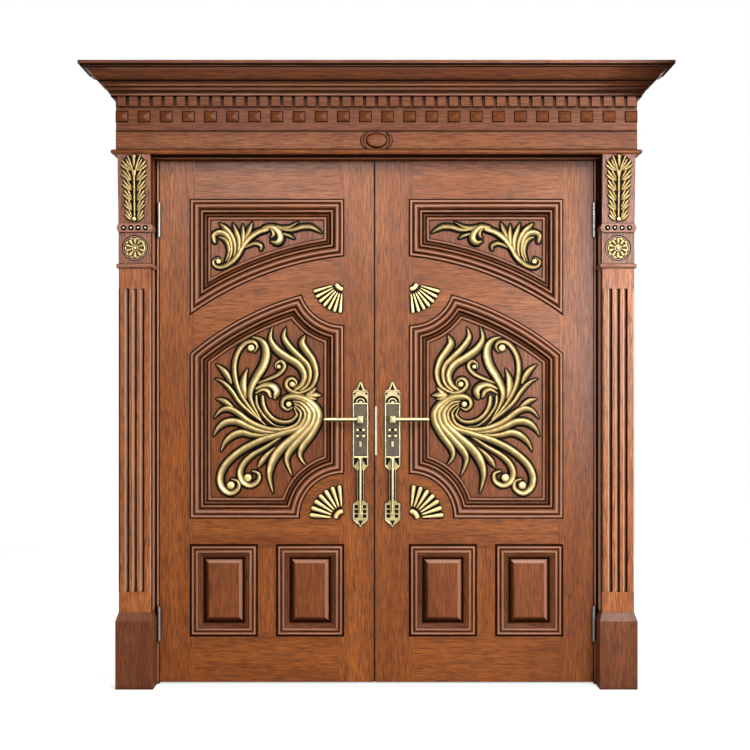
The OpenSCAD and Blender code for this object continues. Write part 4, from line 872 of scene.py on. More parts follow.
@dataclass
class Carver:
    """Carves strokes, eyes and their dark edges into one mesh."""

    surface: Surface
    rise: float
    plan: MeshPlan = field(default_factory=MeshPlan)
    edge_reach: float = 5.5
    edge_rise: float = 1.6
    swell: float = 1.0
    end_reach: float = 1.0
    end_height: float = 0.35
    least_rise: float = 4.0
    rise_rate: float = 1.1

    def sweep(self, stroke: Stroke, section: Section, extra: float, height: Callable[[float], float],
              steps: int) -> None:
        """Sweeps a section along a stroke, with round ends.

        Args:
            stroke: The stroke.
            section: Its section.
            extra: Millimetres added to each side.
            height: Gives the height for a half width.
            steps: Steps between two points of the line.
        """
        count = steps * (len(stroke.line) - 1)
        rings: list[tuple[Point2, Point2, float, float]] = []
        for i in range(count + 1):
            share = i / count
            p = stroke.at(share)
            a, b = stroke.at(max(share - 0.01, 0.0)), stroke.at(min(share + 0.01, 1.0))
            size = math.hypot(b[0] - a[0], b[1] - a[1]) or 1.0
            way = ((b[0] - a[0]) / size, (b[1] - a[1]) / size)
            half = stroke.half_width(share) * self.swell
            rings.append((p, way, half + extra, height(half)))
        first, last = rings[0], rings[-1]
        turns = (30.0, 58.0, 78.0)
        head = [self.round_end(first, -1.0, angle) for angle in reversed(turns)]
        tail = [self.round_end(last, 1.0, angle) for angle in turns]
        rows: list[list[Point3]] = []
        for p, way, half, high in head + rings + tail:
            side = (-way[1], way[0])
            rows.append([
                self.surface(p[0] + side[0] * half * v, p[1] + side[1] * half * v, high * u)
                for v, u in zip(section.across, section.up)
            ])
        self.plan.lattice(rows, lambda r, c: section.glaze[c], around=True, capped=True)

    def round_end(self, ring: tuple[Point2, Point2, float, float], sense: float,
                  angle: float) -> tuple[Point2, Point2, float, float]:
        """A ring moved outwards and shrunk, for the round end of a stroke.

        Args:
            ring: The end ring: place, direction, half width and height.
            sense: -1 at the root, 1 at the tip.
            angle: Degrees round the end.

        Returns:
            The moved ring.
        """
        p, way, half, high = ring
        out = half * math.sin(math.radians(angle)) * sense * self.end_reach
        shrink = math.cos(math.radians(angle))
        moved = (p[0] + way[0] * out, p[1] + way[1] * out)
        return (moved, way, half * shrink, high * lerp(self.end_height, 1.0, shrink))

    def stroke(self, stroke: Stroke, section: Section = FEATHER, steps: int = 7) -> None:
        """Carves one stroke with its dark edge.

        Args:
            stroke: The stroke.
            section: Its section.
            steps: Steps between two points of its line.
        """
        self.sweep(stroke, section, 0.0,
                   lambda half: min(self.rise, self.least_rise + self.rise_rate * half), steps)
        self.sweep(stroke, EDGE, self.edge_reach, lambda half: self.edge_rise, max(steps // 2, 2))

    def eye(self, centre: Point2, radius: float) -> None:
        """Turns the round eye of a scroll: a button in a dark ring.

        Args:
            centre: Its middle on the drawing, in millimetres.
            radius: Its radius.
        """
        shares = (1.22, 1.18, 1.0, 0.98, 0.86, 0.66, 0.40, 0.15)
        heights = (0.0, self.edge_rise, self.edge_rise, self.rise * 0.62, self.rise * 0.86, self.rise * 0.97,
                   self.rise, self.rise)
        dark = (1.0, 1.0, 1.0, 0.75, 0.22, 0.0, 0.0, 0.0)
        sides = 28
        rows = [
            [
                self.surface(centre[0] + radius * share * math.cos(2 * math.pi * c / sides),
                             centre[1] + radius * share * math.sin(2 * math.pi * c / sides), high)
                for c in range(sides)
            ]
            for share, high in zip(shares, heights)
        ]
        self.plan.lattice(rows, lambda r, c: dark[r], around=True, capped=True)


def strokes(rows: Sequence[tuple]) -> list[Stroke]:
    """Strokes from rows of points, widths and place of the belly."""
    return [Stroke(tuple(line), tuple(widths), belly) for line, widths, belly in rows]


# Points from root to tip, widths at root, belly and tip, and place of the belly, in millimetres from the eye
PHOENIX = strokes([
    (((26, 61), (51, 81), (61, 118), (38, 159), (-13, 191), (-53, 223), (-75, 265), (-66, 311)), (14, 31, 2),
     0.62),
    (((45, 56), (73, 80), (84, 118), (75, 156), (45, 188), (3, 230), (-21, 271), (-12, 308)), (10, 25, 2),
     0.75),
    (((64, 53), (96, 78), (109, 124), (96, 175), (72, 210), (52, 244), (62, 273)), (10, 29, 9), 0.78),
    (((80, 61), (45, 45), (10, 52), (-11, 73), (-7, 96), (14, 105), (31, 89), (22, 68)), (10, 17, 6), 0.4),
    (((68, 38), (89, 49), (110, 69)), (7, 18, 2), 0.5),
    (((68, 37), (99, 39), (130, 37)), (9, 24, 2), 0.5),
    (((68, 35), (89, 27), (112, 21)), (7, 18, 2), 0.5),
    (((11, -14), (-8, -22), (-27, -5), (-21, 22), (8, 35), (51, 31), (92, 8), (120, -27), (120, -67),
      (92, -121), (54, -172), (46, -208), (68, -243)), (8, 27, 2), 0.78),
    (((-5, 21), (22, 27), (61, 18), (91, -10), (105, -39), (94, -83), (51, -134), (8, -182), (-8, -223),
      (13, -286)), (6, 29, 2), 0.75),
    (((18, 13), (49, 8), (75, -16), (85, -42), (72, -83), (26, -128), (-29, -176), (-64, -227), (-77, -284),
      (-63, -354)), (6, 34, 2), 0.72),
    (((22, 4), (46, -6), (65, -30), (65, -58), (38, -96), (-29, -118), (-112, -144), (-191, -185),
      (-249, -236), (-274, -287), (-267, -332), (-235, -354), (-204, -337), (-204, -310), (-228, -300)),
     (6, 28, 9), 0.6),
    (((25, -6), (41, -21), (49, -39), (35, -77), (-10, -99), (-67, -101), (-118, -88), (-163, -66),
      (-201, -37), (-236, -18), (-271, -24), (-299, -55)), (6, 24, 2), 0.8),
    (((22, -13), (30, -32), (32, -45), (10, -66), (-22, -71), (-57, -61), (-86, -35), (-102, -3), (-106, 29)),
     (5, 17, 15), 0.8),
    (((-16, -90), (-54, -85), (-89, -59), (-115, -26), (-129, 2), (-131, 32)), (4, 12, 11), 0.7),
    (((-13, -108), (-64, -113), (-115, -107), (-163, -90), (-207, -70), (-249, -71), (-281, -93),
      (-302, -126)), (5, 28, 2), 0.68),
    (((-54, -118), (-105, -125), (-150, -122), (-188, -113), (-225, -125), (-255, -153), (-272, -188)),
     (5, 27, 2), 0.6),
    (((3, -110), (-41, -137), (-92, -171), (-143, -201), (-179, -235), (-195, -274), (-183, -310),
      (-153, -323), (-124, -306), (-121, -279), (-143, -268)), (4, 25, 10), 0.52),
    (((-53, -171), (-83, -198), (-107, -227), (-124, -255)), (4, 22, 2), 0.65),
    (((-92, -88), (-131, -45), (-169, 2), (-198, 51), (-215, 105), (-218, 163), (-203, 212), (-174, 246),
      (-142, 252), (-126, 232), (-137, 212)), (5, 21, 8), 0.5),
    (((-112, -62), (-143, -6), (-156, 32), (-150, 70), (-129, 112), (-104, 153), (-91, 198), (-97, 236),
      (-116, 259), (-145, 269)), (6, 34, 6), 0.62),
    (((-171, 19), (-179, 48), (-183, 77), (-178, 112), (-166, 143)), (3, 29, 2), 0.5),
    (((-233, 88), (-247, 116), (-265, 139), (-291, 160)), (12, 25, 2), 0.45),
    (((-80, -99), (-115, -64), (-158, -30), (-198, 8), (-223, 45), (-246, 73), (-269, 92), (-294, 103)),
     (5, 18, 2), 0.66),
    (((-223, -14), (-244, 3), (-266, 16), (-291, 22)), (8, 22, 2), 0.5),
    (((-126, 86), (-91, 99), (-53, 115), (-28, 134), (-18, 156), (-32, 172), (-50, 162), (-51, 145)),
     (7, 17, 8), 0.42),
    (((-132, 64), (-100, 79), (-67, 76), (-48, 54), (-54, 30)), (10, 29, 17), 0.75),
    (((-132, 46), (-106, 61), (-83, 54), (-73, 33)), (8, 19, 13), 0.7),
])
PHOENIX_EYES: tuple[tuple[Point2, float], ...] = (
    ((14, 81), 12), ((0, 1), 12), ((-232, -323), 17), ((-164, -293), 17), ((-151, 226), 15), ((-40, 151), 9),
)
SCROLL = strokes([
    (((-2, 14), (-21, 0), (-12, -19), (15, -22), (46, -6), (72, 20), (91, 54), (118, 90), (155, 117),
      (191, 129)), (7, 25, 22), 0.78),
    (((182, 135), (216, 139), (242, 116), (248, 90), (233, 74), (209, 80)), (18, 29, 4), 0.62),
    (((197, 139), (216, 124), (220, 105), (209, 96)), (8, 15, 4), 0.6),
    (((223, 145), (252, 136), (283, 139), (317, 157)), (8, 15, 2), 0.5),
    (((237, 136), (265, 128), (298, 128), (332, 138), (366, 139), (390, 129), (410, 116)), (8, 21, 2), 0.6),
    (((256, 112), (280, 105), (301, 93)), (8, 13, 3), 0.45),
    (((35, -3), (49, 35), (45, 78), (27, 107), (2, 115), (-19, 103), (-16, 80)), (6, 25, 15), 0.62),
    (((28, 2), (40, 38), (35, 72), (20, 90), (3, 96)), (5, 17, 8), 0.5),
    (((54, 5), (64, 41), (60, 80), (42, 115), (21, 136), (4, 152)), (5, 24, 2), 0.7),
    (((69, 14), (79, 50), (79, 87), (69, 119), (57, 152)), (5, 23, 2), 0.65),
    (((84, 32), (93, 66), (97, 103), (96, 147)), (5, 20, 2), 0.68),
    (((101, 84), (113, 107), (124, 130), (133, 155)), (6, 20, 2), 0.6),
    (((93, 50), (121, 65), (148, 73), (170, 63), (169, 48)), (6, 16, 8), 0.6),
])
SCROLL_EYES: tuple[tuple[Point2, float], ...] = (((0, 0), 11),)


@dataclass(frozen=True)
class Relief:
    """A gilt carving in a panel: its solid, its name, where its eye lies and how it is carved."""

    node: str
    name: str
    eye: Point2
    rise: float
    lines: list[Stroke]
    eyes: tuple[tuple[Point2, float], ...]
    edge: float
    swell: float


RELIEFS = (
    Relief("phoenix", "feather_carving", (-351.0, 1118.0), 19.0, PHOENIX, PHOENIX_EYES, edge=5.0, swell=1.18),
    Relief("scroll", "scroll_carving", (-632.0, 1691.0), 16.0, SCROLL, SCROLL_EYES, edge=7.0, swell=1.08),
)


@dataclass(frozen=True)
class Profile:
    """Section of a planted moulding: distance inwards and out, in millimetres, with painted shade in its
    grooves where positive and painted highlight on its ridges where negative.
    """

    steps: tuple[Point3, ...]
    back: tuple[Point3, ...] = ((17.0, -12.0, 0.0), (17.0, 0.0, 0.0))

    def closed(self) -> list[Point3]:
        """The section with its hidden back."""
        return [*self.steps, *self.back]


# Mouldings: painted shade in the grooves and painted highlights on the ridges
BOLD = Profile((
    (-4.5, 0.0, 1.0), (-4.3, 0.7, 1.0), (-0.4, 0.9, 1.0), (0.2, 4.4, 0.3), (1.6, 7.0, -0.7), (4.2, 8.2, -1.0),
    (7.6, 7.6, -1.0), (9.8, 5.4, 0.1), (10.8, 3.6, 0.6), (12.6, 3.0, 0.6), (14.2, 4.6, 0.25),
    (16.4, 8.4, 0.6), (18.6, 12.0, 0.1), (21.5, 13.8, -0.9), (25.0, 13.9, -0.8), (28.4, 12.8, -0.1),
    (32.4, 9.6, 0.3), (35.6, 5.8, 0.7), (37.6, 3.2, 1.0), (39.6, 2.8, 1.0), (41.2, 4.6, 0.2),
    (44.0, 5.6, -0.8), (47.0, 5.0, -0.3), (49.0, 2.6, 0.4), (51.0, -0.6, 0.95), (54.6, -5.4, 1.0),
    (57.6, -7.6, 0.4), (61.0, -8.8, 0.4), (64.0, -9.0, 1.0), (66.4, -8.6, 1.0), (68.0, -6.2, 0.2),
    (70.6, -4.4, -0.5), (74.0, -4.0, -0.5), (77.0, -5.4, 0.1), (79.0, -8.0, 0.8), (80.4, -11.0, 1.0),
    (80.6, -12.0, 1.0),
))
SLIGHT = Profile((
    (-4.0, 0.0, 1.0), (-3.8, 0.7, 1.0), (2.0, 0.9, 1.0), (3.4, 3.6, 0.7), (5.6, 6.4, 0.0), (8.0, 7.4, -0.9),
    (11.0, 7.2, -0.8), (13.4, 5.4, 0.2), (14.8, 3.0, 0.7), (16.6, 2.6, 0.7), (18.4, 5.0, 0.3),
    (21.0, 8.6, 0.0), (24.4, 10.6, -0.6), (28.0, 10.6, -0.6), (31.0, 8.0, 0.3), (33.0, 5.0, 0.7),
    (34.6, 4.4, 0.5), (36.6, 4.8, 0.1), (38.6, 4.0, 0.4), (40.6, 2.8, 0.7), (43.0, 1.0, 0.3),
    (46.0, -1.8, 0.2), (49.0, -4.6, 0.6), (51.4, -8.0, 1.0), (53.0, -10.4, 1.0), (57.0, -10.8, 1.0),
    (57.4, -12.0, 1.0),
))
# Raised edge of a lower panel: distance inwards and out, and the painted highlight and painted shade on its
# lit and shaded sides
BEVEL: tuple[Point2, ...] = ((57.4, -11.1), (61.0, -9.5), (66.0, -7.3), (73.0, -4.2), (73.0, -5.4),
                             (57.4, -12.0))
LIT, SHADED = (1.0, -0.6, -1.0, -0.7, 0.0, 1.0), (1.0, 0.9, 0.7, 0.4, 0.4, 1.0)

Run = list[Point2]


@dataclass(frozen=True)
class LeafSizes:
    """Outlines of one leaf as drawn for the left, in millimetres."""

    panel_left: float = -743.0
    panel_right: float = -133.0
    panel_top: float = 1936.0
    upper_tall: float = 454.0
    upper_short: float = 222.0
    arch_rail: float = 127.0
    fan_lift: float = 24.0
    scoop: float = 178.0
    main_foot: float = 666.0
    lower_foot: float = 194.0
    lower_top: float = 556.0
    muntin: float = 80.0
    panel_sink: float = 12.0

    @property
    def arch_height(self) -> float:
        """Height of the middle of the arches."""
        low, high = self.panel_top - self.upper_tall, self.panel_top - self.upper_short
        return (self.panel_right ** 2 + high ** 2 - self.panel_left ** 2 - low ** 2) / (2 * (high - low))

    @property
    def arch_radius(self) -> float:
        """Radius of the lower edge of the upper panel."""
        return math.hypot(self.panel_left, self.panel_top - self.upper_tall - self.arch_height)

    @property
    def main_radius(self) -> float:
        """Radius of the upper edge of the main panel."""
        return self.arch_radius - self.arch_rail

    @property
    def fan_height(self) -> float:
        """Height of the middle of the upper fan."""
        return self.arch_height + math.sqrt(self.main_radius ** 2 - self.panel_right ** 2) + self.fan_lift

    @staticmethod
    def arc(centre: Point2, radius: float, start: float, end: float, steps: int) -> Run:
        """Points on an arc.

        Args:
            centre: Its middle.
            radius: Its radius.
            start: Angle of its start, in radians.
            end: Angle of its end.
            steps: Stretches that it is cut into.

        Returns:
            The points.
        """
        return [
            (centre[0] + radius * math.cos(lerp(start, end, i / steps)),
             centre[1] + radius * math.sin(lerp(start, end, i / steps)))
            for i in range(steps + 1)
        ]

    @staticmethod
    def line(start: Point2, end: Point2, steps: int) -> Run:
        """Points on a straight line."""
        return [(lerp(start[0], end[0], i / steps), lerp(start[1], end[1], i / steps))
                for i in range(steps + 1)]

    def upper(self, d: float) -> list[Run]:
        """Runs round the upper panel.

        Args:
            d: How far they are moved inwards.

        Returns:
            One run for each side.
        """
        x0, x1, z1, r = self.panel_left + d, self.panel_right - d, self.panel_top - d, self.arch_radius + d
        centre = (0.0, self.arch_height)
        a0, a1 = math.acos(x0 / r), math.acos(x1 / r)
        arch = self.arc(centre, r, a1, a0, 28)
        return [self.line((x0, z1), (x1, z1), 2), self.line((x1, z1), arch[0], 2), arch,
                self.line(arch[-1], (x0, z1), 2)]

    def main(self, d: float) -> list[Run]:
        """Runs round the main panel.

        Args:
            d: How far they are moved inwards.

        Returns:
            One run for each side.
        """
        x0, x1, z0 = self.panel_left + d, self.panel_right - d, self.main_foot + d
        r0, r1 = self.main_radius - d, self.scoop + d
        centre, hub = (0.0, self.arch_height), (self.panel_right, self.fan_height)
        low = (self.panel_right, self.main_foot)
        cx, cz = hub[0] - centre[0], hub[1] - centre[1]
        q = math.hypot(cx, cz)
        m = (r0 * r0 - r1 * r1 + q * q) / (2 * q)
        k = math.sqrt(r0 * r0 - m * m)
        peak = (centre[0] + (m * cx - k * cz) / q, centre[1] + (m * cz + k * cx) / q)
        start = (x0, centre[1] + math.sqrt(r0 * r0 - x0 * x0))
        fall = math.sqrt(r1 * r1 - d * d)

        def angle(p: Point2, c: Point2) -> float:
            """Angle of a point seen from a centre, from 0 to a full turn."""
            return math.atan2(p[1] - c[1], p[0] - c[0]) % (2 * math.pi)

        top_end, foot_start, foot_end = (x1, hub[1] - fall), (x1, low[1] + fall), (low[0] - fall, z0)
        arch = self.arc(centre, r0, angle(start, centre), angle(peak, centre), 24)
        upper = self.arc(hub, r1, angle(peak, hub), angle(top_end, hub), 16)
        lower = self.arc(low, r1, angle(foot_start, low), angle(foot_end, low), 16)
        return [arch, upper, self.line(top_end, foot_start, 2), lower, self.line(foot_end, (x0, z0), 2),
                self.line((x0, z0), start, 2)]

    def lower(self, d: float, right: bool) -> list[Run]:
        """Runs round a lower panel.

        Args:
            d: How far they are moved inwards.
            right: Whether it is the panel on the right.

        Returns:
            One run for each side.
        """
        middle = (self.panel_left + self.panel_right) / 2
        x0 = (middle + self.muntin / 2 if right else self.panel_left) + d
        x1 = (self.panel_right if right else middle - self.muntin / 2) - d
        z0, z1 = self.lower_foot + d, self.lower_top - d
        corners = [(x0, z1), (x1, z1), (x1, z0), (x0, z0)]
        return [self.line(corners[i], corners[(i + 1) % 4], 2) for i in range(4)]


@dataclass
class Handle:
    """Fields, trim and lever cap of one outer handle, measured in millimetres from its lever."""

    side: Side
    palette: Palette
    x: float = -64.0
    z: float = 1059.0
    black: int = 1
    plate_shadow_depth: Point2 = (0.05, 0.5)
    bronze_depth: Point2 = (4.9, 5.4)
    pierced_depth: Point2 = (0.1, 1.4)
    grip_depth: Point2 = (6.9, 7.4)
    dark_depth: Point2 = (6.9, 7.3)
    hood_height: float = 66.5
    bead_ground: float = 6.6
    bar_ground: float = 6.5

    def at(self, across: float, up: float) -> Point2:
        """A place on the plate."""
        return (self.x + across, self.z + up)

    def block(self, plan: MeshPlan, across: Point2, up: Point2, depth: Point2, slot: int = 0) -> None:
        """Lays a plain block on the plate.

        Args:
            plan: What it is added to.
            across: From left to right.
            up: From foot to head.
            depth: From back to front.
            slot: Material slot.
        """
        plan.box((self.x + across[0], self.x + across[1]), (self.z + up[0], self.z + up[1]), depth,
                 self.side.sign, slot=slot)

    def sheet(self, plan: MeshPlan, outline: Sequence[Point2], depth: Point2) -> None:
        """Lays a black sheet with an outline of its own on the plate.

        Args:
            plan: What it is added to.
            outline: Its corners.
            depth: From back to front.
        """
        plan.slab([self.at(*corner) for corner in outline], depth, self.side.sign, slot=self.black)

    def build_fields(self) -> None:
        """Lays the bronze fields and the black grounds of the plate, with a black sheet of painted shadow
        round its edge.
        """
        plan = MeshPlan()
        # A black sheet just wider than the plate, as painted shadow round its edge
        half = ((0, 158), (9, 136), (16, 124), (28.6, 117), (28.6, 112), (33.6, 111), (33.6, -187),
                (15.6, -207), (15.6, -323), (21, -331), (33.6, -335), (33.6, -401), (12.6, -419), (0, -438))
        self.sheet(plan, (*half, *((-a, b) for a, b in reversed(half[1:-1]))), self.plate_shadow_depth)
        for across, up in (((-25.6, 25.6), (-147.6, -10.0)), ((-25.6, 25.6), (10.0, 59.6)),
                           ((-25.6, -10.5), (-10.0, 10.0)), ((10.5, 25.6), (-10.0, 10.0))):
            self.block(plan, across, up, self.bronze_depth)
        self.block(plan, (-11.2, 11.2), (-326.0, -203.0), self.grip_depth, self.black)
        for across, up in (((-27.0, 27.0), (65.0, 106.0)), ((-8.6, 8.6), (117.5, 139.5)),
                           ((-27.0, 27.0), (-184.0, -153.0)), ((-23.0, 23.0), (-392.0, -343.0))):
            self.block(plan, across, up, self.pierced_depth, self.black)
        for outline in (((-10.0, -404.0), (10.0, -404.0), (0.0, -424.0)),
                        ((-9.0, 117.0), (9.0, 117.0), (0.0, 141.0)),
                        LeafSizes.arc((0.0, 66.0), 28.0, 0.0, math.pi, 20)):
            self.sheet(plan, outline, self.dark_depth)
        plan.turned(self.at(0.0, -55.0), ((15.0, 18.0, 5.2, 0.0), (14.6, 17.6, 5.9, 0.0)), self.side.sign,
                    slot=self.black)
        for i in (-1, 1):
            for outline in (((28.0, 106.0), (16.0, 106.0), (28.0, 93.0)),
                            ((27.0, -154.0), (8.0, -154.0), (6.0, -160.0), (20.0, -181.0), (26.0, -176.0))):
                self.sheet(plan, [(i * a, b) for a, b in outline], self.dark_depth)
            for up in (-349.0, -368.0, -386.5):
                across = (min(i * 9.5, i * 23.5), max(i * 9.5, i * 23.5))
                self.block(plan, across, (up - 6.8, up + 6.8), self.dark_depth, self.black)
        piece = plan.build(f"{self.side.value}_handle_fields", [self.palette.bronze, self.palette.patina])
        place(piece, self.side.leaf, "brass")

    def build_trim(self) -> None:
        """Sets the beads, bosses and pins of the plate."""
        plan, sign = MeshPlan(), self.side.sign
        hood = self.at(0.0, self.hood_height)
        low, high = math.radians(4.0), math.radians(176.0)
        plan.slab([*LeafSizes.arc(hood, 18.0, low, high, 16), *LeafSizes.arc(hood, 14.2, high, low, 16)],
                  (7.0, 9.0), sign)
        plan.slab(LeafSizes.arc(hood, 6.6, 0.0, math.pi, 12), (7.0, 9.4), sign)
        for i in (-1, 1):
            for start, end, width, rise in (
                ((28.2, -150.0), (28.2, 62.0), 4.6, 2.2),
                ((12.0, -326.0), (12.0, -200.0), 2.4, 1.8),
                ((29.3, -398.0), (29.3, -339.0), 3.4, 2.0),
                ((12.6, 121.0), (1.5, 148.0), 3.6, 2.0),
                ((27.0, -403.0), (10.0, -417.0), 3.4, 2.0),
                ((28.0, -187.0), (13.0, -203.0), 3.4, 2.0),
            ):
                plan.bead(self.at(i * start[0], start[1]), self.at(i * end[0], end[1]), width,
                          self.bead_ground, rise, sign)
        # The pull's rod has painted shade along its sides
        plan.rod(self.at(0.0, -367.6), self.at(0.0, -156.4), (6.3, 6.3), 41.0, sign,
                 lambda v: 3.4 * abs(v) - 1.5)
        for half, up, width, rise in ((28.0, 113.0, 6.0, 4.0), (26.0, 63.0, 5.0, 2.5),
                                      (26.0, -151.0, 5.0, 2.5)):
            plan.bead(self.at(-half, up), self.at(half, up), width, self.bar_ground, rise, sign)
        # Bosses and pins carry painted shade round their feet
        for up, levels in (
            (-166.0, ((9.0, 13.0, 6.8, 0.6), (7.0, 11.0, 9.0, 0.0), (3.0, 5.0, 11.0, 0.0))),
            (-366.0, ((10.0, 22.0, 6.8, 0.6), (8.0, 20.0, 9.0, 0.0), (3.0, 14.0, 11.0, 0.0))),
            (-99.0, ((5.0, 11.0, 8.0, 0.8), (4.2, 10.2, 9.6, 0.0))),
        ):
            plan.tower(self.at(0.0, up), levels, sign)
        pin = ((5.0, 5.0, 8.2, 0.9), (4.6, 4.6, 9.8, 0.1), (2.0, 2.0, 10.8, 0.0))
        for i in (-1, 1):
            for up in (-43.0, -67.0):
                plan.turned(self.at(i * 12.0, up), pin, sign, 16)
        piece = plan.build(f"{self.side.value}_handle_trim", [self.palette.brass], sharp=25.0)
        place(piece, self.side.leaf, "brass")

    def build_cap(self) -> None:
        """Caps the lever, bright above, with painted shade below and in a thin line along its top."""
        plan, sign = MeshPlan(), self.side.sign
        plan.rod(self.at(-11.2, 0.0), self.at(-140.4, 0.0), (9.2, 7.8), 45.0, sign,
                 lambda v: max(-3.0 * v - 2.4, 1.3 * v + 0.1))
        plan.tower(self.at(0.0, 0.0),
                   ((11.0, 14.0, 52.8, 0.2), (10.4, 13.4, 54.0, 0.0), (4.0, 6.0, 57.5, 0.0)), sign)
        piece = plan.build(f"{self.side.value}_lever_cap", [self.palette.brass], sharp=25.0)
        place(piece, f"{self.side.value}_lever", "brass")

    def build(self) -> None:
        """Builds the handle's pieces."""
        self.build_fields()
        self.build_trim()
        self.build_cap()


@dataclass
class Leaf:
    """One leaf: framing, panels, mouldings, carving, seal and handle."""

    side: Side
    palette: Palette
    sizes: LeafSizes = field(default_factory=LeafSizes)
    board_step: float = 0.311
    fan_rise: float = 10.0
    upper_fan: float = 126.0
    lower_fan: float = 136.0
    ribs: int = 7
    fan_drop: float = 4.0
    rib_reach: Point2 = (0.38, 0.955)
    rib_fill: float = 0.86
    rib_tip: float = 0.86
    hub_reach: float = 0.215
    hub_width: float = 0.20
    hub_inset: float = 9.0
    meeting_edge: float = -10.0
    meeting_gap: float = 4.0
    seal_span: Point2 = (9.0, 2091.0)
    forend_span: Point2 = (955.0, 1152.0)
    lip_depth: Point2 = (-14.0, -9.0)
    bead_depth: Point2 = (-7.0, -4.0)
    edge_shadow_depth: Point2 = (-2.0, 0.4)

    def node(self, name: str) -> str:
        """Name of one of this leaf's solids."""
        return f"{self.side.value}_{name}"

    def on_face(self, origin: Point2, ground: float) -> Surface:
        """A drawing surface on the leaf.

        Args:
            origin: Where the drawing starts, in millimetres.
            ground: Height of the face that carries it.

        Returns:
            A function from drawing to frame.
        """
        return lambda x, z, h: world(origin[0] + x, origin[1] + z, ground + h, self.side.sign)

    def ring(self, plan: MeshPlan, outline: Callable[[float], list[Run]], profile: Profile,
             seed: float) -> None:
        """Runs a moulding round an outline, mitred at its corners.

        Args:
            plan: Mesh that takes it.
            outline: Gives the runs for a distance inwards.
            profile: Section of the moulding.
            seed: Place on the board that it is cut from.
        """
        section = profile.closed()
        paths = [outline(d) for d, _, _ in section]
        rows: list[list[int]] = []
        for (_, h, dark), runs in zip(section, paths):
            flat = [p for run in runs for p in run[:-1]]
            rows.append([plan.point(world(x, z, h, self.side.sign), dark) for x, z in flat])
        across = [0.0]
        for a, b in zip(section, section[1:] + section[:1]):
            across.append(across[-1] + math.hypot(b[0] - a[0], b[1] - a[1]))
        total = len(rows[0])
        column = 0
        for number, run in enumerate(paths[0]):
            length = 0.0
            for k in range(len(run) - 1):
                step = math.hypot(run[k + 1][0] - run[k][0], run[k + 1][1] - run[k][1])
                i, j = (column + k) % total, (column + k + 1) % total
                for r in range(len(section)):
                    s = (r + 1) % len(section)
                    base = seed + self.board_step * number
                    u0, u1 = length * MM + base, (length + step) * MM + base
                    v0, v1 = across[r] * MM + base, across[r + 1] * MM + base
                    plan.face((rows[r][i], rows[r][j], rows[s][j], rows[s][i]),
                              ((u0, v0), (u1, v0), (u1, v1), (u0, v1)))
                length += step
            column += len(run) - 1

    def build_mouldings(self) -> None:
        """Plants the mouldings on the front, with painted highlights and painted shade along them."""
        plan = MeshPlan()
        seed = 0.0 if self.side is Side.LEFT else 5.7
        for outline, profile, shift in (
            (self.sizes.upper, BOLD, 0.0),
            (self.sizes.main, BOLD, 1.9),
            (lambda d: self.sizes.lower(d, False), SLIGHT, 3.3),
            (lambda d: self.sizes.lower(d, True), SLIGHT, 4.1),
        ):
            self.ring(plan, outline, profile, seed + shift)
        for right in (False, True):
            paths = [self.sizes.lower(d, right) for d, _ in BEVEL]
            for number in range(4):
                # The top and right edges take the painted highlight, the left and bottom ones painted shade
                shades = LIT if number == 0 or number == 2 + round(-self.side.sign) else SHADED
                rows = [[world(*path[number][end], BEVEL[c][1], self.side.sign)
                         for c, path in enumerate(paths)]
                        for end in (0, -1)]
                plan.lattice(rows, lambda r, c, tones=shades: tones[c], around=True, capped=True, slot=1)
        obj = plan.build(self.node("planted_mouldings"), [self.palette.run, self.palette.panel], sharp=48.0)
        place(obj, self.side.leaf, "mahogany", [self.node("mouldings")])

    def build_carving(self) -> None:
        """Carves the feathers of the main panel and the scroll of the upper one."""
        for relief in RELIEFS:
            carver = Carver(self.on_face(relief.eye, -self.sizes.panel_sink), relief.rise, swell=relief.swell,
                            edge_reach=relief.edge)
            for stroke in relief.lines:
                carver.stroke(stroke)
            for centre, radius in relief.eyes:
                carver.eye(centre, radius)
            piece = carver.plan.build(self.node(relief.name), [self.palette.gilt], sharp=40.0)
            place(piece, self.side.leaf, "gilt", [self.node(relief.node)])

    def build_fans(self) -> None:
        """Spreads the gilt fans in the corners of the rails."""
        plan = MeshPlan()
        for height, radius, start, end in (
            (self.sizes.fan_height, self.upper_fan, 192.0, 270.0),
            (self.sizes.main_foot, self.lower_fan, 90.0, 180.0),
        ):
            corner = (self.sizes.panel_right - 1.0, height - self.fan_drop)
            carver = Carver(self.on_face(corner, 0.0), self.fan_rise, plan, edge_reach=3.0, edge_rise=2.0,
                            end_reach=0.45)
            step = (end - start) / self.ribs
            inner, outer = (share * radius for share in self.rib_reach)
            wide = 2 * math.tan(math.radians(step / 2)) * self.rib_fill
            for i in range(self.ribs):
                turn = math.radians(start + (i + 0.5) * step)
                way = (math.cos(turn), math.sin(turn))
                line = tuple((way[0] * lerp(inner, outer, t), way[1] * lerp(inner, outer, t))
                             for t in (0.0, 0.5, 1.0))
                widths = (inner * wide, outer * wide, outer * wide * self.rib_tip)
                carver.stroke(Stroke(line, widths, 0.92, straight=True), BUD)
            turns = (math.radians(start + self.hub_inset), math.radians(end - self.hub_inset))
            hub = LeafSizes.arc((0.0, 0.0), self.hub_reach * radius, *turns, 4)
            carver.stroke(Stroke(tuple(hub), (self.hub_width * radius,) * 3, 0.5, straight=True), BUD)
        place(plan.build(self.node("gilt_fans"), [self.palette.gilt], sharp=70.0), self.side.leaf, "gilt",
              [self.node("fans")])

    def build_seal(self) -> None:
        """Sets the black lip of the meeting edge and dark strips of painted shadow along its edges."""
        plan = MeshPlan()
        foot, head = self.seal_span
        if self.side is Side.LEFT:
            edge = self.meeting_edge
            plan.box((edge - 1.0, edge + self.meeting_gap - 0.4), self.seal_span, self.lip_depth)
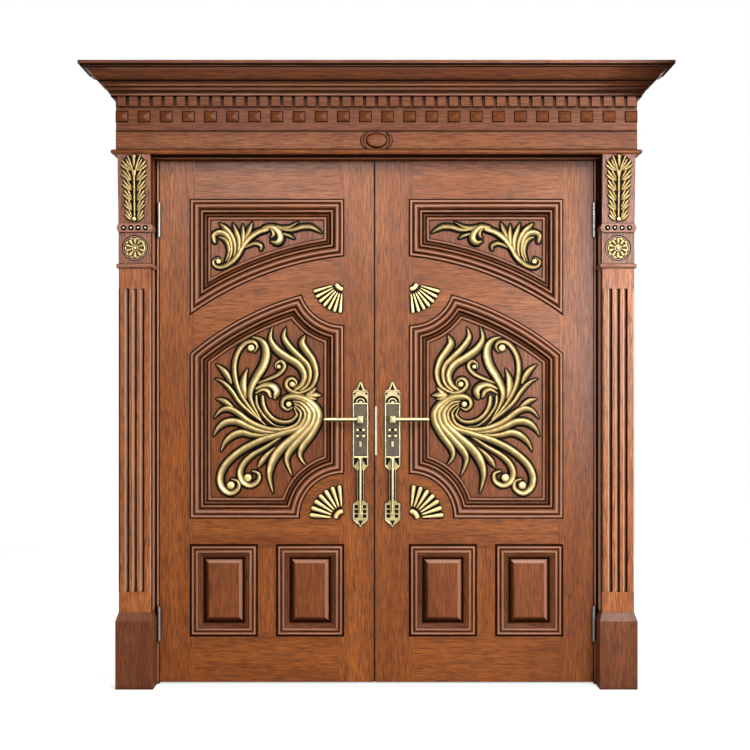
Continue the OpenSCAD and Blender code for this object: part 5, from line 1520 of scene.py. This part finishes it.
            # A dark strip of painted shadow along the meeting edge
            plan.box((edge - 1.0, edge), self.seal_span, self.edge_shadow_depth)
        else:
            edge = self.meeting_edge + self.meeting_gap
            plan.box((edge - 0.9, edge + 1.0), self.seal_span, self.bead_depth)
            # Dark strips of painted shadow beside the forend
            for z in ((foot, self.forend_span[0]), (self.forend_span[1], head)):
                plan.box((edge, edge + 1.0), z, self.edge_shadow_depth)
        place(plan.build(self.node("meeting_seal"), [self.palette.rubber]), self.side.leaf, None)

    def dress(self, frame: dict) -> None:
        """Gives the leaf's own solids their finishes.

        Args:
            frame: The loaded frame.
        """
        p = self.palette
        finishes = {
            "hinge_plates": p.steel, "stiles": p.upright, "rails": p.level, "upper_panel": p.panel,
            "main_panel": p.panel, "lower_panels": p.panel, "back_mouldings": p.upright,
            "handle_plate": p.aged, "pull": p.brass, "escutcheon": p.bronze, "inner_plate": p.brass,
            "lever": p.brass,
        }
        dress_solids(frame, {self.node(name): material for name, material in finishes.items()})

    def build(self, frame: dict) -> None:
        """Builds and dresses the leaf.

        Args:
            frame: The loaded frame.
        """
        self.dress(frame)
        self.build_mouldings()
        self.build_carving()
        self.build_fans()
        self.build_seal()
        Handle(self.side, self.palette).build()


# Section of the crown: reach past the frieze, height, and painted shade where positive and painted highlight
# where negative
CORNICE: tuple[Point3, ...] = (
    (17.1, 0.0, 1.0), (17.1, 2.5, 1.0), (17.1, 4.0, 0.1), (17.1, 8.0, -0.6), (17.1, 11.5, -0.2),
    (25.6, 13.8, 0.6), (25.6, 17.0, 1.0), (25.6, 20.5, 1.0), (25.6, 22.5, 0.1), (25.6, 24.2, -0.5),
    (34.2, 26.5, -0.6), (35.4, 29.5, 0.5), (36.4, 32.2, 1.0), (37.4, 34.6, 1.0), (38.6, 36.2, 0.0),
    (41.0, 39.0, -0.6), (45.1, 42.6, -0.2), (49.0, 44.6, 0.2), (53.7, 46.0, 0.5), (53.7, 49.4, 0.8),
    (57.0, 51.2, 1.0), (61.0, 52.9, 1.0), (63.5, 54.6, 0.6), (68.3, 59.8, 0.35), (74.4, 69.0, 0.2),
    (80.5, 78.2, 0.1), (85.0, 82.6, 0.0), (90.3, 86.3, -0.25), (96.0, 88.8, -0.4), (101.3, 90.9, -0.4),
    (105.0, 91.6, 0.6), (107.4, 92.0, 1.0), (107.4, 94.8, 1.0), (107.4, 95.8, 0.2), (107.4, 98.2, -0.2),
    (108.6, 99.0, 0.9), (117.0, 101.2, 1.0), (121.0, 102.0, 1.0), (122.0, 102.4, 0.6), (122.0, 104.0, 0.0),
    (122.0, 112.0, 0.0), (122.0, 114.0, -0.3), (122.0, 115.0, 0.0),
)


@dataclass
class Surround:
    """Jambs, pilasters and entablature."""

    palette: Palette
    pilaster_x: float = -951.0
    rosette_height: float = 1735.0
    rosette_ground: float = 73.0
    rosette_radius: float = 42.0
    plinth_top: float = 302.0
    lining_top: float = 1812.0
    near_jamb: Point2 = (3.0, 54.0)
    near_face: Point2 = (54.0, 76.0)
    capital_depth: float = 80.0
    petals: int = 10
    petal_root: float = 13.0
    petal_inset: float = 6.5
    petal_fill: float = 0.96
    console_base: float = 1830.0
    console_foot: float = 84.0
    console_head: float = 102.0
    console_top: float = 2100.0
    acanthus_rise: float = 15.0
    acanthus_foot: float = 16.0
    acanthus_margin: float = 20.0
    acanthus_drawn: float = 250.0
    lobes: int = 6
    boss_height: float = 2156.0
    boss_width: float = 80.0
    boss_tall: float = 56.0
    fascia_depth: float = 91.0
    frieze_foot: float = 2193.0
    frieze_depth: float = 88.0
    beam_half: float = 1024.0
    under_bead: Point2 = (2098.8, 2100.3)
    lit_bead: Point2 = (2098.4, 2100.3)
    over_bead: Point2 = (2119.2, 2122.8)
    stud_width: float = 47.0
    stud_height: float = 2250.0
    studs: int = 24
    crown_foot: float = 2326.0
    crown_wall: float = 3.0
    left_fade: float = 120.0
    right_fade: float = 240.0
    # Painted shade on each column of the crown's path; the front's middle takes none and the right end the
    # most
    crown_end_shade: tuple[float, ...] = (0.0, 0.3, 0.2, -1.0, -1.0, 0.85, 0.4, 0.0)
    shaft_width: float = 128.0
    flute_pitch: float = 30.0
    flute_radius: float = 7.5
    flute_ends: Point2 = (381.4, 1574.6)
    jamb_top: float = 2094.0
    collar_depth: float = 89.0
    pearls: int = 4
    pearl_pitch: float = 28.5
    pearl_height: float = 1813.5

    def dress(self, frame: dict) -> None:
        """Gives the surround's own solids their finishes.

        Args:
            frame: The loaded frame.
        """
        p = self.palette
        dress_solids(frame, {
            "left_jamb": p.jamb, "right_jamb": p.jamb, "head_jamb": p.jamb_level, "left_plinth": p.plinth,
            "right_plinth": p.plinth, "left_shaft": p.pilaster, "right_shaft": p.pilaster, "collars": p.band,
            "capital_blocks": p.capital, "pearl_bands": p.band, "base_bead": p.beam,
            "fascia": p.beam, "frieze": p.beam, "dentil_course": p.beam, "jamb_hinge_plates": p.steel,
            "hinge_pins": p.steel,
        })

    def build_rosettes(self) -> None:
        """Turns the gilt rosettes of the capitals and the plain rims around them, with rings of painted shade
        round them and a painted highlight on the rims.
        """
        plan, rims = MeshPlan(), MeshPlan()
        r = self.rosette_radius
        for side in Side:
            g, centre = self.rosette_ground, (self.pilaster_x, self.rosette_height)
            carver = Carver(lambda x, z, h, s=side: world(centre[0] + x, centre[1] + z, g + h, s.sign),
                            10.5, plan, edge_reach=0.2, edge_rise=4.7, end_reach=0.5)
            plan.turned(centre, (
                (r, r, g, 1.0), (r, r, g + 1.0, 0.9), (r - 0.5, r - 0.5, g + 4.5, 0.4),
                (r - 2.6, r - 2.6, g + 6.6, 0.0), (r - 5.6, r - 5.6, g + 6.4, 0.1),
                (r - 7.6, r - 7.6, g + 4.5, 0.6), (14.0, 14.0, g + 4.5, 0.6), (12.6, 12.6, g + 6.6, 0.4),
                (10.4, 10.4, g + 7.0, 0.1), (8.8, 8.8, g + 6.0, 1.0)), side.sign)
            # Dark rings of painted shade round the disc and round its seat in the capital
            plan.hoop(centre, (r + 0.4, r + 1.6), (g - 0.3, g + 1.0), side.sign, 1.0)
            plan.hoop(centre, (r + 6.8, r + 8.4), (self.capital_depth - 0.4, self.capital_depth + 0.5),
                      side.sign, 1.0)
            # The rim takes a painted highlight
            rims.hoop(centre, (r + 1.8, r + 5.4), (g - 0.3, g + 5.0), side.sign, -0.6)
            for i in range(self.petals):
                turn = 2 * math.pi * (i + 0.5) / self.petals
                reach = r - self.petal_inset
                line = tuple((d * math.cos(turn), d * math.sin(turn))
                             for d in (self.petal_root, 0.5 * (self.petal_root + reach), reach))
                wide = 2 * reach * math.tan(math.pi / self.petals) * self.petal_fill
                carver.stroke(Stroke(line, (6.4, wide, wide * 0.9), 0.9, straight=True), PETAL, steps=6)
            carver.eye((0.0, 0.0), 7.0)
        place(plan.build("gilt_rosettes", [self.palette.gilt], sharp=70.0), "frame", "gilt", ["rosettes"])
        place(rims.build("rosette_rims", [self.palette.pilaster]), "frame", "mahogany")

    def acanthus_lines(self) -> list[Stroke]:
        """Midrib, fork and fingers of one acanthus leaf.

        Returns:
            The strokes.
        """
        lines = []
        for k in range(self.lobes):
            share = k / (self.lobes - 1)
            z, out = lerp(214.0, 20.0, share), lerp(50.0, 36.0, share)
            for s in (-1, 1):
                lines += [
                    Stroke(((s * 11, z - 22), (s * out * 0.60, z - 17), (s * out, z - 2)), (5, 13, 10), 0.55),
                    Stroke(((s * 11, z - 18), (s * out * 0.56, z - 7), (s * out * 0.92, z + 15)), (5, 13, 9),
                           0.6),
                    Stroke(((s * 11, z - 12), (s * out * 0.42, z + 1), (s * out * 0.62, z + 20)), (4, 10, 7),
                           0.55),
                ]
        lines += [
            Stroke(((-2, 168), (-10, 208), (-24, 246)), (8, 10, 9), 0.5),
            Stroke(((2, 168), (10, 208), (24, 246)), (8, 10, 9), 0.5),
            Stroke(((0, 204), (0, 226), (0, 246)), (3, 15, 24), 0.6),
            Stroke(((0, 4), (0, 100), (0, 190)), (9, 11, 13), 0.75),
        ]
        return lines

    def build_acanthus(self) -> None:
        """Carves the acanthus leaves of the consoles."""
        plan = MeshPlan()
        tall = self.console_top - self.console_base
        slope = (self.console_head - self.console_foot) / tall
        lean = math.atan(slope)
        scale = (tall - self.acanthus_margin) / self.acanthus_drawn
        for side in Side:

            def surface(x: float, z: float, h: float, s: Side = side) -> Point3:
                """A place on the leaning face of the console.

                Args:
                    x: Distance across the drawing, in millimetres.
                    z: Height on the drawing.
                    h: Distance out of the face.
                    s: Side that it lies on.

                Returns:
                    The place in the shared frame.
                """
                up = scale * z * math.cos(lean) - h * math.sin(lean)
                out = scale * z * math.sin(lean) + h * math.cos(lean)
                return world(self.pilaster_x + scale * x, self.console_base + self.acanthus_foot + up,
                             self.console_foot + self.acanthus_foot * slope + out, s.sign)

            carver = Carver(surface, self.acanthus_rise - 0.5, plan, edge_reach=1.5, edge_rise=3.4,
                            end_reach=0.6)
            carver.sweep(Stroke(((0, 20), (0, 130), (0, 226)), (52, 82, 88), 0.7), EDGE, 0.0,
                         lambda half: 2.6, 6)
            for line in self.acanthus_lines():
                carver.stroke(line)
            carver.eye((0.0, 2.0), 9.0)
        place(plan.build("gilt_acanthus", [self.palette.gilt], sharp=70.0), "frame", "gilt",
              ["acanthus_leaves"])

    def build_studs(self) -> None:
        """Cuts the pointed studs of the frieze, with painted shade round their feet."""
        plan = MeshPlan()
        pitch = (2 * self.beam_half - self.stud_width) / (self.studs - 1)
        g = self.frieze_depth
        for i in range(self.studs):
            x = (i - (self.studs - 1) / 2) * pitch
            plan.tower((x, self.stud_height), (
                (25.0, 22.5, g, 1.0), (24.6, 22.0, g + 1.0, 1.0), (22.4, 19.8, g + 1.4, 1.0),
                (21.8, 19.2, g + 4.0, 0.2), (1.5, 1.5, g + 12.0, 0.0)))
        place(plan.build("pointed_studs", [self.palette.beam], sharp=15.0), "frame", "mahogany",
              ["frieze_studs"])

    def build_boss(self) -> None:
        """Turns the oval boss between its two crescents, ringed at its foot by painted shade."""
        plan = MeshPlan()
        a, b, g = self.boss_width / 2, self.boss_tall / 2, self.fascia_depth
        plan.turned((0.0, self.boss_height), (
            (a + 3.0, b + 3.0, g, 1.0), (a + 2.6, b + 2.6, g + 0.9, 1.0), (a, b, g + 1.1, 1.0),
            (a - 0.6, b - 0.6, g + 6.0, 0.7), (a - 3.0, b - 3.0, g + 8.2, 0.1),
            (a * 0.78, b * 0.76, g + 9.6, 0.0), (a * 0.4, b * 0.4, g + 10.4, 0.0),
            (a * 0.06, b * 0.06, g + 10.6, 0.0)), sides=56)
        carver = Carver(lambda x, z, h: world(x, self.boss_height + z, g + h), 6.0, plan, edge_reach=1.6,
                        edge_rise=1.2)
        for s in (-1, 1):
            turns = [math.radians(d) for d in (-46.0, -23.0, 0.0, 23.0, 46.0)]
            line = tuple((s * (a + 17.0) * math.cos(t), (b + 14.0) * math.sin(t)) for t in turns)
            carver.stroke(Stroke(line, (4.0, 11.0, 4.0), 0.5), BUD)
        place(plan.build("oval_dome", [self.palette.beam], sharp=60.0), "frame", "mahogany", ["oval_boss"])

    def build_cornice(self) -> None:
        """Runs the crown with its returns, with painted shade towards its ends and painted lines of shade and
        highlight along it.
        """
        rows = []
        for reach, up, _ in CORNICE:
            half, out = self.beam_half + reach, self.frieze_depth + reach
            path = ((self.crown_wall - half, 0.0), (-half, 0.0), (-half, out), (self.left_fade - half, out),
                    (half - self.right_fade, out), (half, out), (half, 0.0), (half - self.crown_wall, 0.0))
            rows.append([world(x, self.crown_foot + up, h) for x, h in path])
        ends = self.crown_end_shade
        plan = MeshPlan()
        plan.lattice(rows, lambda r, c: max(CORNICE[r][2], ends[c]) if 0 < c < 7 else 0.0, around=True,
                     capped=True)
        place(plan.build("cornice", [self.palette.crown], sharp=24.0), "frame", "mahogany", ["crown"])

    def build_flutes(self) -> None:
        """Lines the flutes of the shafts with a painted highlight on one wall and painted shade on the other.
        """
        plan = MeshPlan()
        face = (self.capital_depth - 0.3, self.capital_depth + 0.35)
        # Painted highlight where negative and painted shade where positive, round each flute
        shades = ((180.0, 0.3), (190.0, -0.8), (208.0, -1.0), (228.0, -0.6), (248.0, 0.1), (268.0, 0.7),
                  (290.0, 1.0), (325.0, 1.0), (360.0, 0.9))
        for side in Side:
            for i in (-1, 0, 1):
                x = side.sign * self.pilaster_x + i * self.flute_pitch
                section = [(self.flute_radius - 0.4, angle, shade) for angle, shade in shades]
                section += [(self.flute_radius + 0.8, angle, shade)
                            for angle, shade in reversed(shades[1:-1])]
                rows = [
                    [world(x + r * math.cos(math.radians(a)), z,
                           self.capital_depth + r * math.sin(math.radians(a)))
                     for r, a, _ in section]
                    for z in self.flute_ends
                ]
                plan.lattice(rows, lambda r, c: section[c][2], around=True, capped=True)
                # A strip of painted highlight beside each flute
                edge = x - self.flute_radius
                plan.box((edge - 2.8, edge + 0.6), self.flute_ends, face, 1.0, -0.8)
            half, x = self.shaft_width / 2, side.sign * self.pilaster_x
            # Painted highlight along the shaft's right edge and painted shade along its left
            plan.box((x + half - 5.0, x + half - 0.6), self.flute_ends, face, 1.0, -0.6)
            plan.box((x - half + 0.3, x - half + 6.5), self.flute_ends, face, 1.0, 0.7)
        place(plan.build("flute_linings", [self.palette.pilaster], sharp=60.0), "frame", "mahogany")

    def build_linings(self) -> None:
        """Runs thin strips of painted highlight and painted shade beside the leaves, under the bead and along
        the entablature.
        """
        plan = MeshPlan()
        wall, top = self.pilaster_x + self.shaft_width / 2, self.jamb_top
        # Painted highlight and painted shade on the returns and in lines beside the leaves; the shade beside
        # the right capital is darkest
        for side, lit, dark in ((Side.LEFT, -0.4, 0.4), (Side.RIGHT, -1.0, 1.0)):
            plan.box((wall - 1.0, wall + 0.8), (self.plinth_top, self.lining_top), self.near_jamb, side.sign,
                     lit)
            plan.box((wall - 1.0, wall + 0.8), (self.lining_top, top), self.near_jamb, side.sign, dark)
            plan.box((wall - 1.0, wall + 0.7), (self.plinth_top, top), self.near_face, side.sign, 1.0)
            plan.box((wall + 2.5, wall + 9.5), (1.0, top), (-0.5, 0.8), side.sign, 1.0)
            plan.box((wall + 10.5, wall + 15.0), (1.0, top), (-0.5, 2.4), side.sign, -0.6)
        place(plan.build("jamb_linings", [self.palette.jamb]), "frame", "mahogany")
        runs = MeshPlan()
        # Lines of painted shade under and over the bead and at the frieze's foot, with a painted highlight
        # strip on the bead
        for half, z, h, shade in (
            (-wall - 1.0, self.under_bead, (34.0, 98.0), 1.0),
            (-wall - 1.0, self.lit_bead, (10.0, 33.0), -0.7),
            (-wall - 1.0, self.under_bead, (0.5, 9.0), 1.0),
            (self.beam_half, self.over_bead, (90.5, 91.8), 1.0),
            (self.beam_half, (self.frieze_foot - 2.4, self.frieze_foot + 1.6), (90.0, 91.8), 1.0),
        ):
            runs.box((-half, half), z, h, 1.0, shade)
        place(runs.build("shadow_lines", [self.palette.beam]), "frame", "mahogany")

    def build_pearls(self) -> None:
        """Sets the pearls of the bands on dark seats of painted shade."""
        pearls, seats = MeshPlan(), MeshPlan()
        c = self.collar_depth
        for side in Side:
            for i in range(self.pearls):
                shift = (i - (self.pearls - 1) / 2) * self.pearl_pitch
                centre = (self.pilaster_x + shift, self.pearl_height)
                seats.turned(centre, ((9.8, 9.8, c - 1.9, 1.0), (9.6, 9.6, c + 0.5, 1.0),
                                      (4.0, 4.0, c + 0.6, 1.0)), side.sign, 20)
                pearls.turned(centre, ((3.6, 3.6, c - 0.5, 0.9), (4.0, 4.0, c + 1.4, 0.3),
                                       (3.5, 3.5, c + 3.2, 0.0), (2.2, 2.2, c + 4.5, 0.0),
                                       (0.5, 0.5, c + 4.9, 0.0)), side.sign, 20)
        place(pearls.build("band_pearls", [self.palette.pearl], sharp=80.0), "frame", "steel", ["pearls"])
        place(seats.build("pearl_seats", [self.palette.patina]), "frame", "steel")

    def build(self, frame: dict) -> None:
        """Builds and dresses the surround.

        Args:
            frame: The loaded frame.
        """
        self.dress(frame)
        self.build_rosettes()
        self.build_acanthus()
        self.build_studs()
        self.build_boss()
        self.build_cornice()
        self.build_flutes()
        self.build_linings()
        self.build_pearls()


@dataclass
class Lock:
    """Lock case, bolts, thumbturn and strike."""

    palette: Palette

    def build(self, frame: dict) -> None:
        """Dresses the lock's solids.

        Args:
            frame: The loaded frame.
        """
        p = self.palette
        dress_solids(frame, {
            "lock_case": p.forend, "latch_bolt": p.brass, "deadbolt": p.brass, "thumbturn": p.brass,
            "strike_plate": p.forend,
        })


@dataclass(frozen=True)
class Lamp:
    """A soft lamp: place and size in metres, power in watts."""

    name: str
    spot: Point3
    size: Point2
    power: float
    sheen_only: bool = False

    def hang(self, height: float) -> None:
        """Hangs the lamp, turned to the middle of the door.

        Args:
            height: Height that it is turned to, in metres.
        """
        data = bpy.data.lights.new(self.name, "AREA")
        data.shape = "RECTANGLE"
        data.size, data.size_y = self.size
        data.energy = self.power
        lamp = bpy.data.objects.new(self.name, data)
        lamp.location = self.spot
        aim = (-self.spot[0], -self.spot[1], height - self.spot[2])
        flat = math.hypot(aim[0], aim[1])
        lamp.rotation_euler = (math.atan2(flat, -aim[2]), 0.0, math.atan2(-aim[0], aim[1]))
        lamp.visible_diffuse = not self.sheen_only
        bpy.context.scene.collection.objects.link(lamp)


LAMPS = (
    Lamp("key_lamp", (2.1, -4.0, 3.9), (2.0, 2.0), 243.0),
    Lamp("sheen_lamp", (-0.65, -4.2, 2.7), (1.9, 0.5), 114.0, sheen_only=True),
    Lamp("right_sheen_lamp", (1.75, -4.2, 1.66), (0.6, 1.5), 160.0, sheen_only=True),
    Lamp("side_lamp", (4.2, -2.2, 1.9), (1.0, 2.4), 40.0),
    Lamp("fill_lamp", (-3.6, -4.4, 2.6), (3.2, 3.2), 28.0),
    Lamp("back_lamp", (1.5, 4.5, 3.5), (3.0, 3.0), 150.0),
)


@dataclass
class Studio:
    """Floor, light and camera."""

    distance: float = 5.0
    eye_height: float = 1.164
    lens: float = 60.0
    shift: Point2 = (-0.002, 0.024)
    floor_size: float = 9.0
    floor_glow: float = 0.62
    lamp_aim: float = 1.2
    room_light: float = 0.18

    def build(self) -> None:
        """Sets up the studio."""
        self.lay_floor()
        self.light()
        self.set_camera()

    def lay_floor(self) -> None:
        """Lays the plain pale floor."""
        half = self.floor_size / 2
        plan = MeshPlan()
        corners = [plan.point(p) for p in ((-half, -half, 0.0), (half, -half, 0.0), (half, half, 0.0),
                                           (-half, half, 0.0))]
        plan.face(corners)
        s = Shader("pale_floor")
        where = s.node("ShaderNodeTexCoord").outputs["Object"]
        tone = s.blend(s.noise(where, 3.0, 2.0), (0.90, 0.90, 0.90), (0.93, 0.93, 0.93))
        s.join(tone, s.surface.inputs["Base Color"])
        s.fixed(Roughness=0.9, Specular_IOR_Level=0.1)
        paths = s.node("ShaderNodeLightPath")
        seen = s.between(paths.outputs["Is Camera Ray"], 0.0, 1.0, 0.0, self.floor_glow)
        s.surface.inputs["Emission Color"].default_value = (1.0, 1.0, 1.0, 1.0)
        s.join(seen, s.surface.inputs["Emission Strength"])
        floor = plan.build("studio_floor", [s.material])

    def light(self) -> None:
        """Hangs the soft lamps and lights the room around."""
        for lamp in LAMPS:
            lamp.hang(self.lamp_aim)
        room = bpy.data.worlds.new("studio_room")
        bpy.context.scene.world = room
        room.use_nodes = True
        tree = room.node_tree
        tree.nodes.clear()
        paths = tree.nodes.new("ShaderNodeLightPath")
        soft, seen = (tree.nodes.new("ShaderNodeBackground") for _ in range(2))
        for glow, strength in ((soft, self.room_light), (seen, 1.0)):
            glow.inputs["Color"].default_value = (1.0, 1.0, 1.0, 1.0)
            glow.inputs["Strength"].default_value = strength
        white = paths.outputs["Is Camera Ray"]
        for ray in ("Is Transmission Ray", "Is Glossy Ray"):
            either = tree.nodes.new("ShaderNodeMath")
            either.operation = "MAXIMUM"
            tree.links.new(white, either.inputs[0])
            tree.links.new(paths.outputs[ray], either.inputs[1])
            white = either.outputs[0]
        mix = tree.nodes.new("ShaderNodeMixShader")
        tree.links.new(white, mix.inputs[0])
        tree.links.new(soft.outputs[0], mix.inputs[1])
        tree.links.new(seen.outputs[0], mix.inputs[2])
        out = tree.nodes.new("ShaderNodeOutputWorld")
        tree.links.new(mix.outputs[0], out.inputs[0])

    def set_camera(self) -> None:
        """Sets the camera square in front of the door."""
        data = bpy.data.cameras.new("front_camera")
        data.lens = self.lens
        data.sensor_width = 36.0
        data.shift_x, data.shift_y = self.shift
        camera = bpy.data.objects.new("front_camera", data)
        camera.location = (0.0, WALL_Y - self.distance, self.eye_height)
        camera.rotation_euler = (math.radians(90.0), 0.0, 0.0)
        bpy.context.scene.collection.objects.link(camera)
        bpy.context.scene.camera = camera
        bpy.context.scene.view_settings.view_transform = "Standard"


def main(frame: dict) -> None:
    """Builds the door piece by piece.

    Args:
        frame: The loaded frame.
    """
    logging.basicConfig(level=logging.INFO, format="%(message)s")
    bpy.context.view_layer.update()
    palette = Palette.mix()
    Studio().build()
    Surround(palette).build(frame)
    for side in Side:
        Leaf(side, palette).build(frame)
    Lock(palette).build(frame)


if __name__ == "__main__":
    main(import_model())
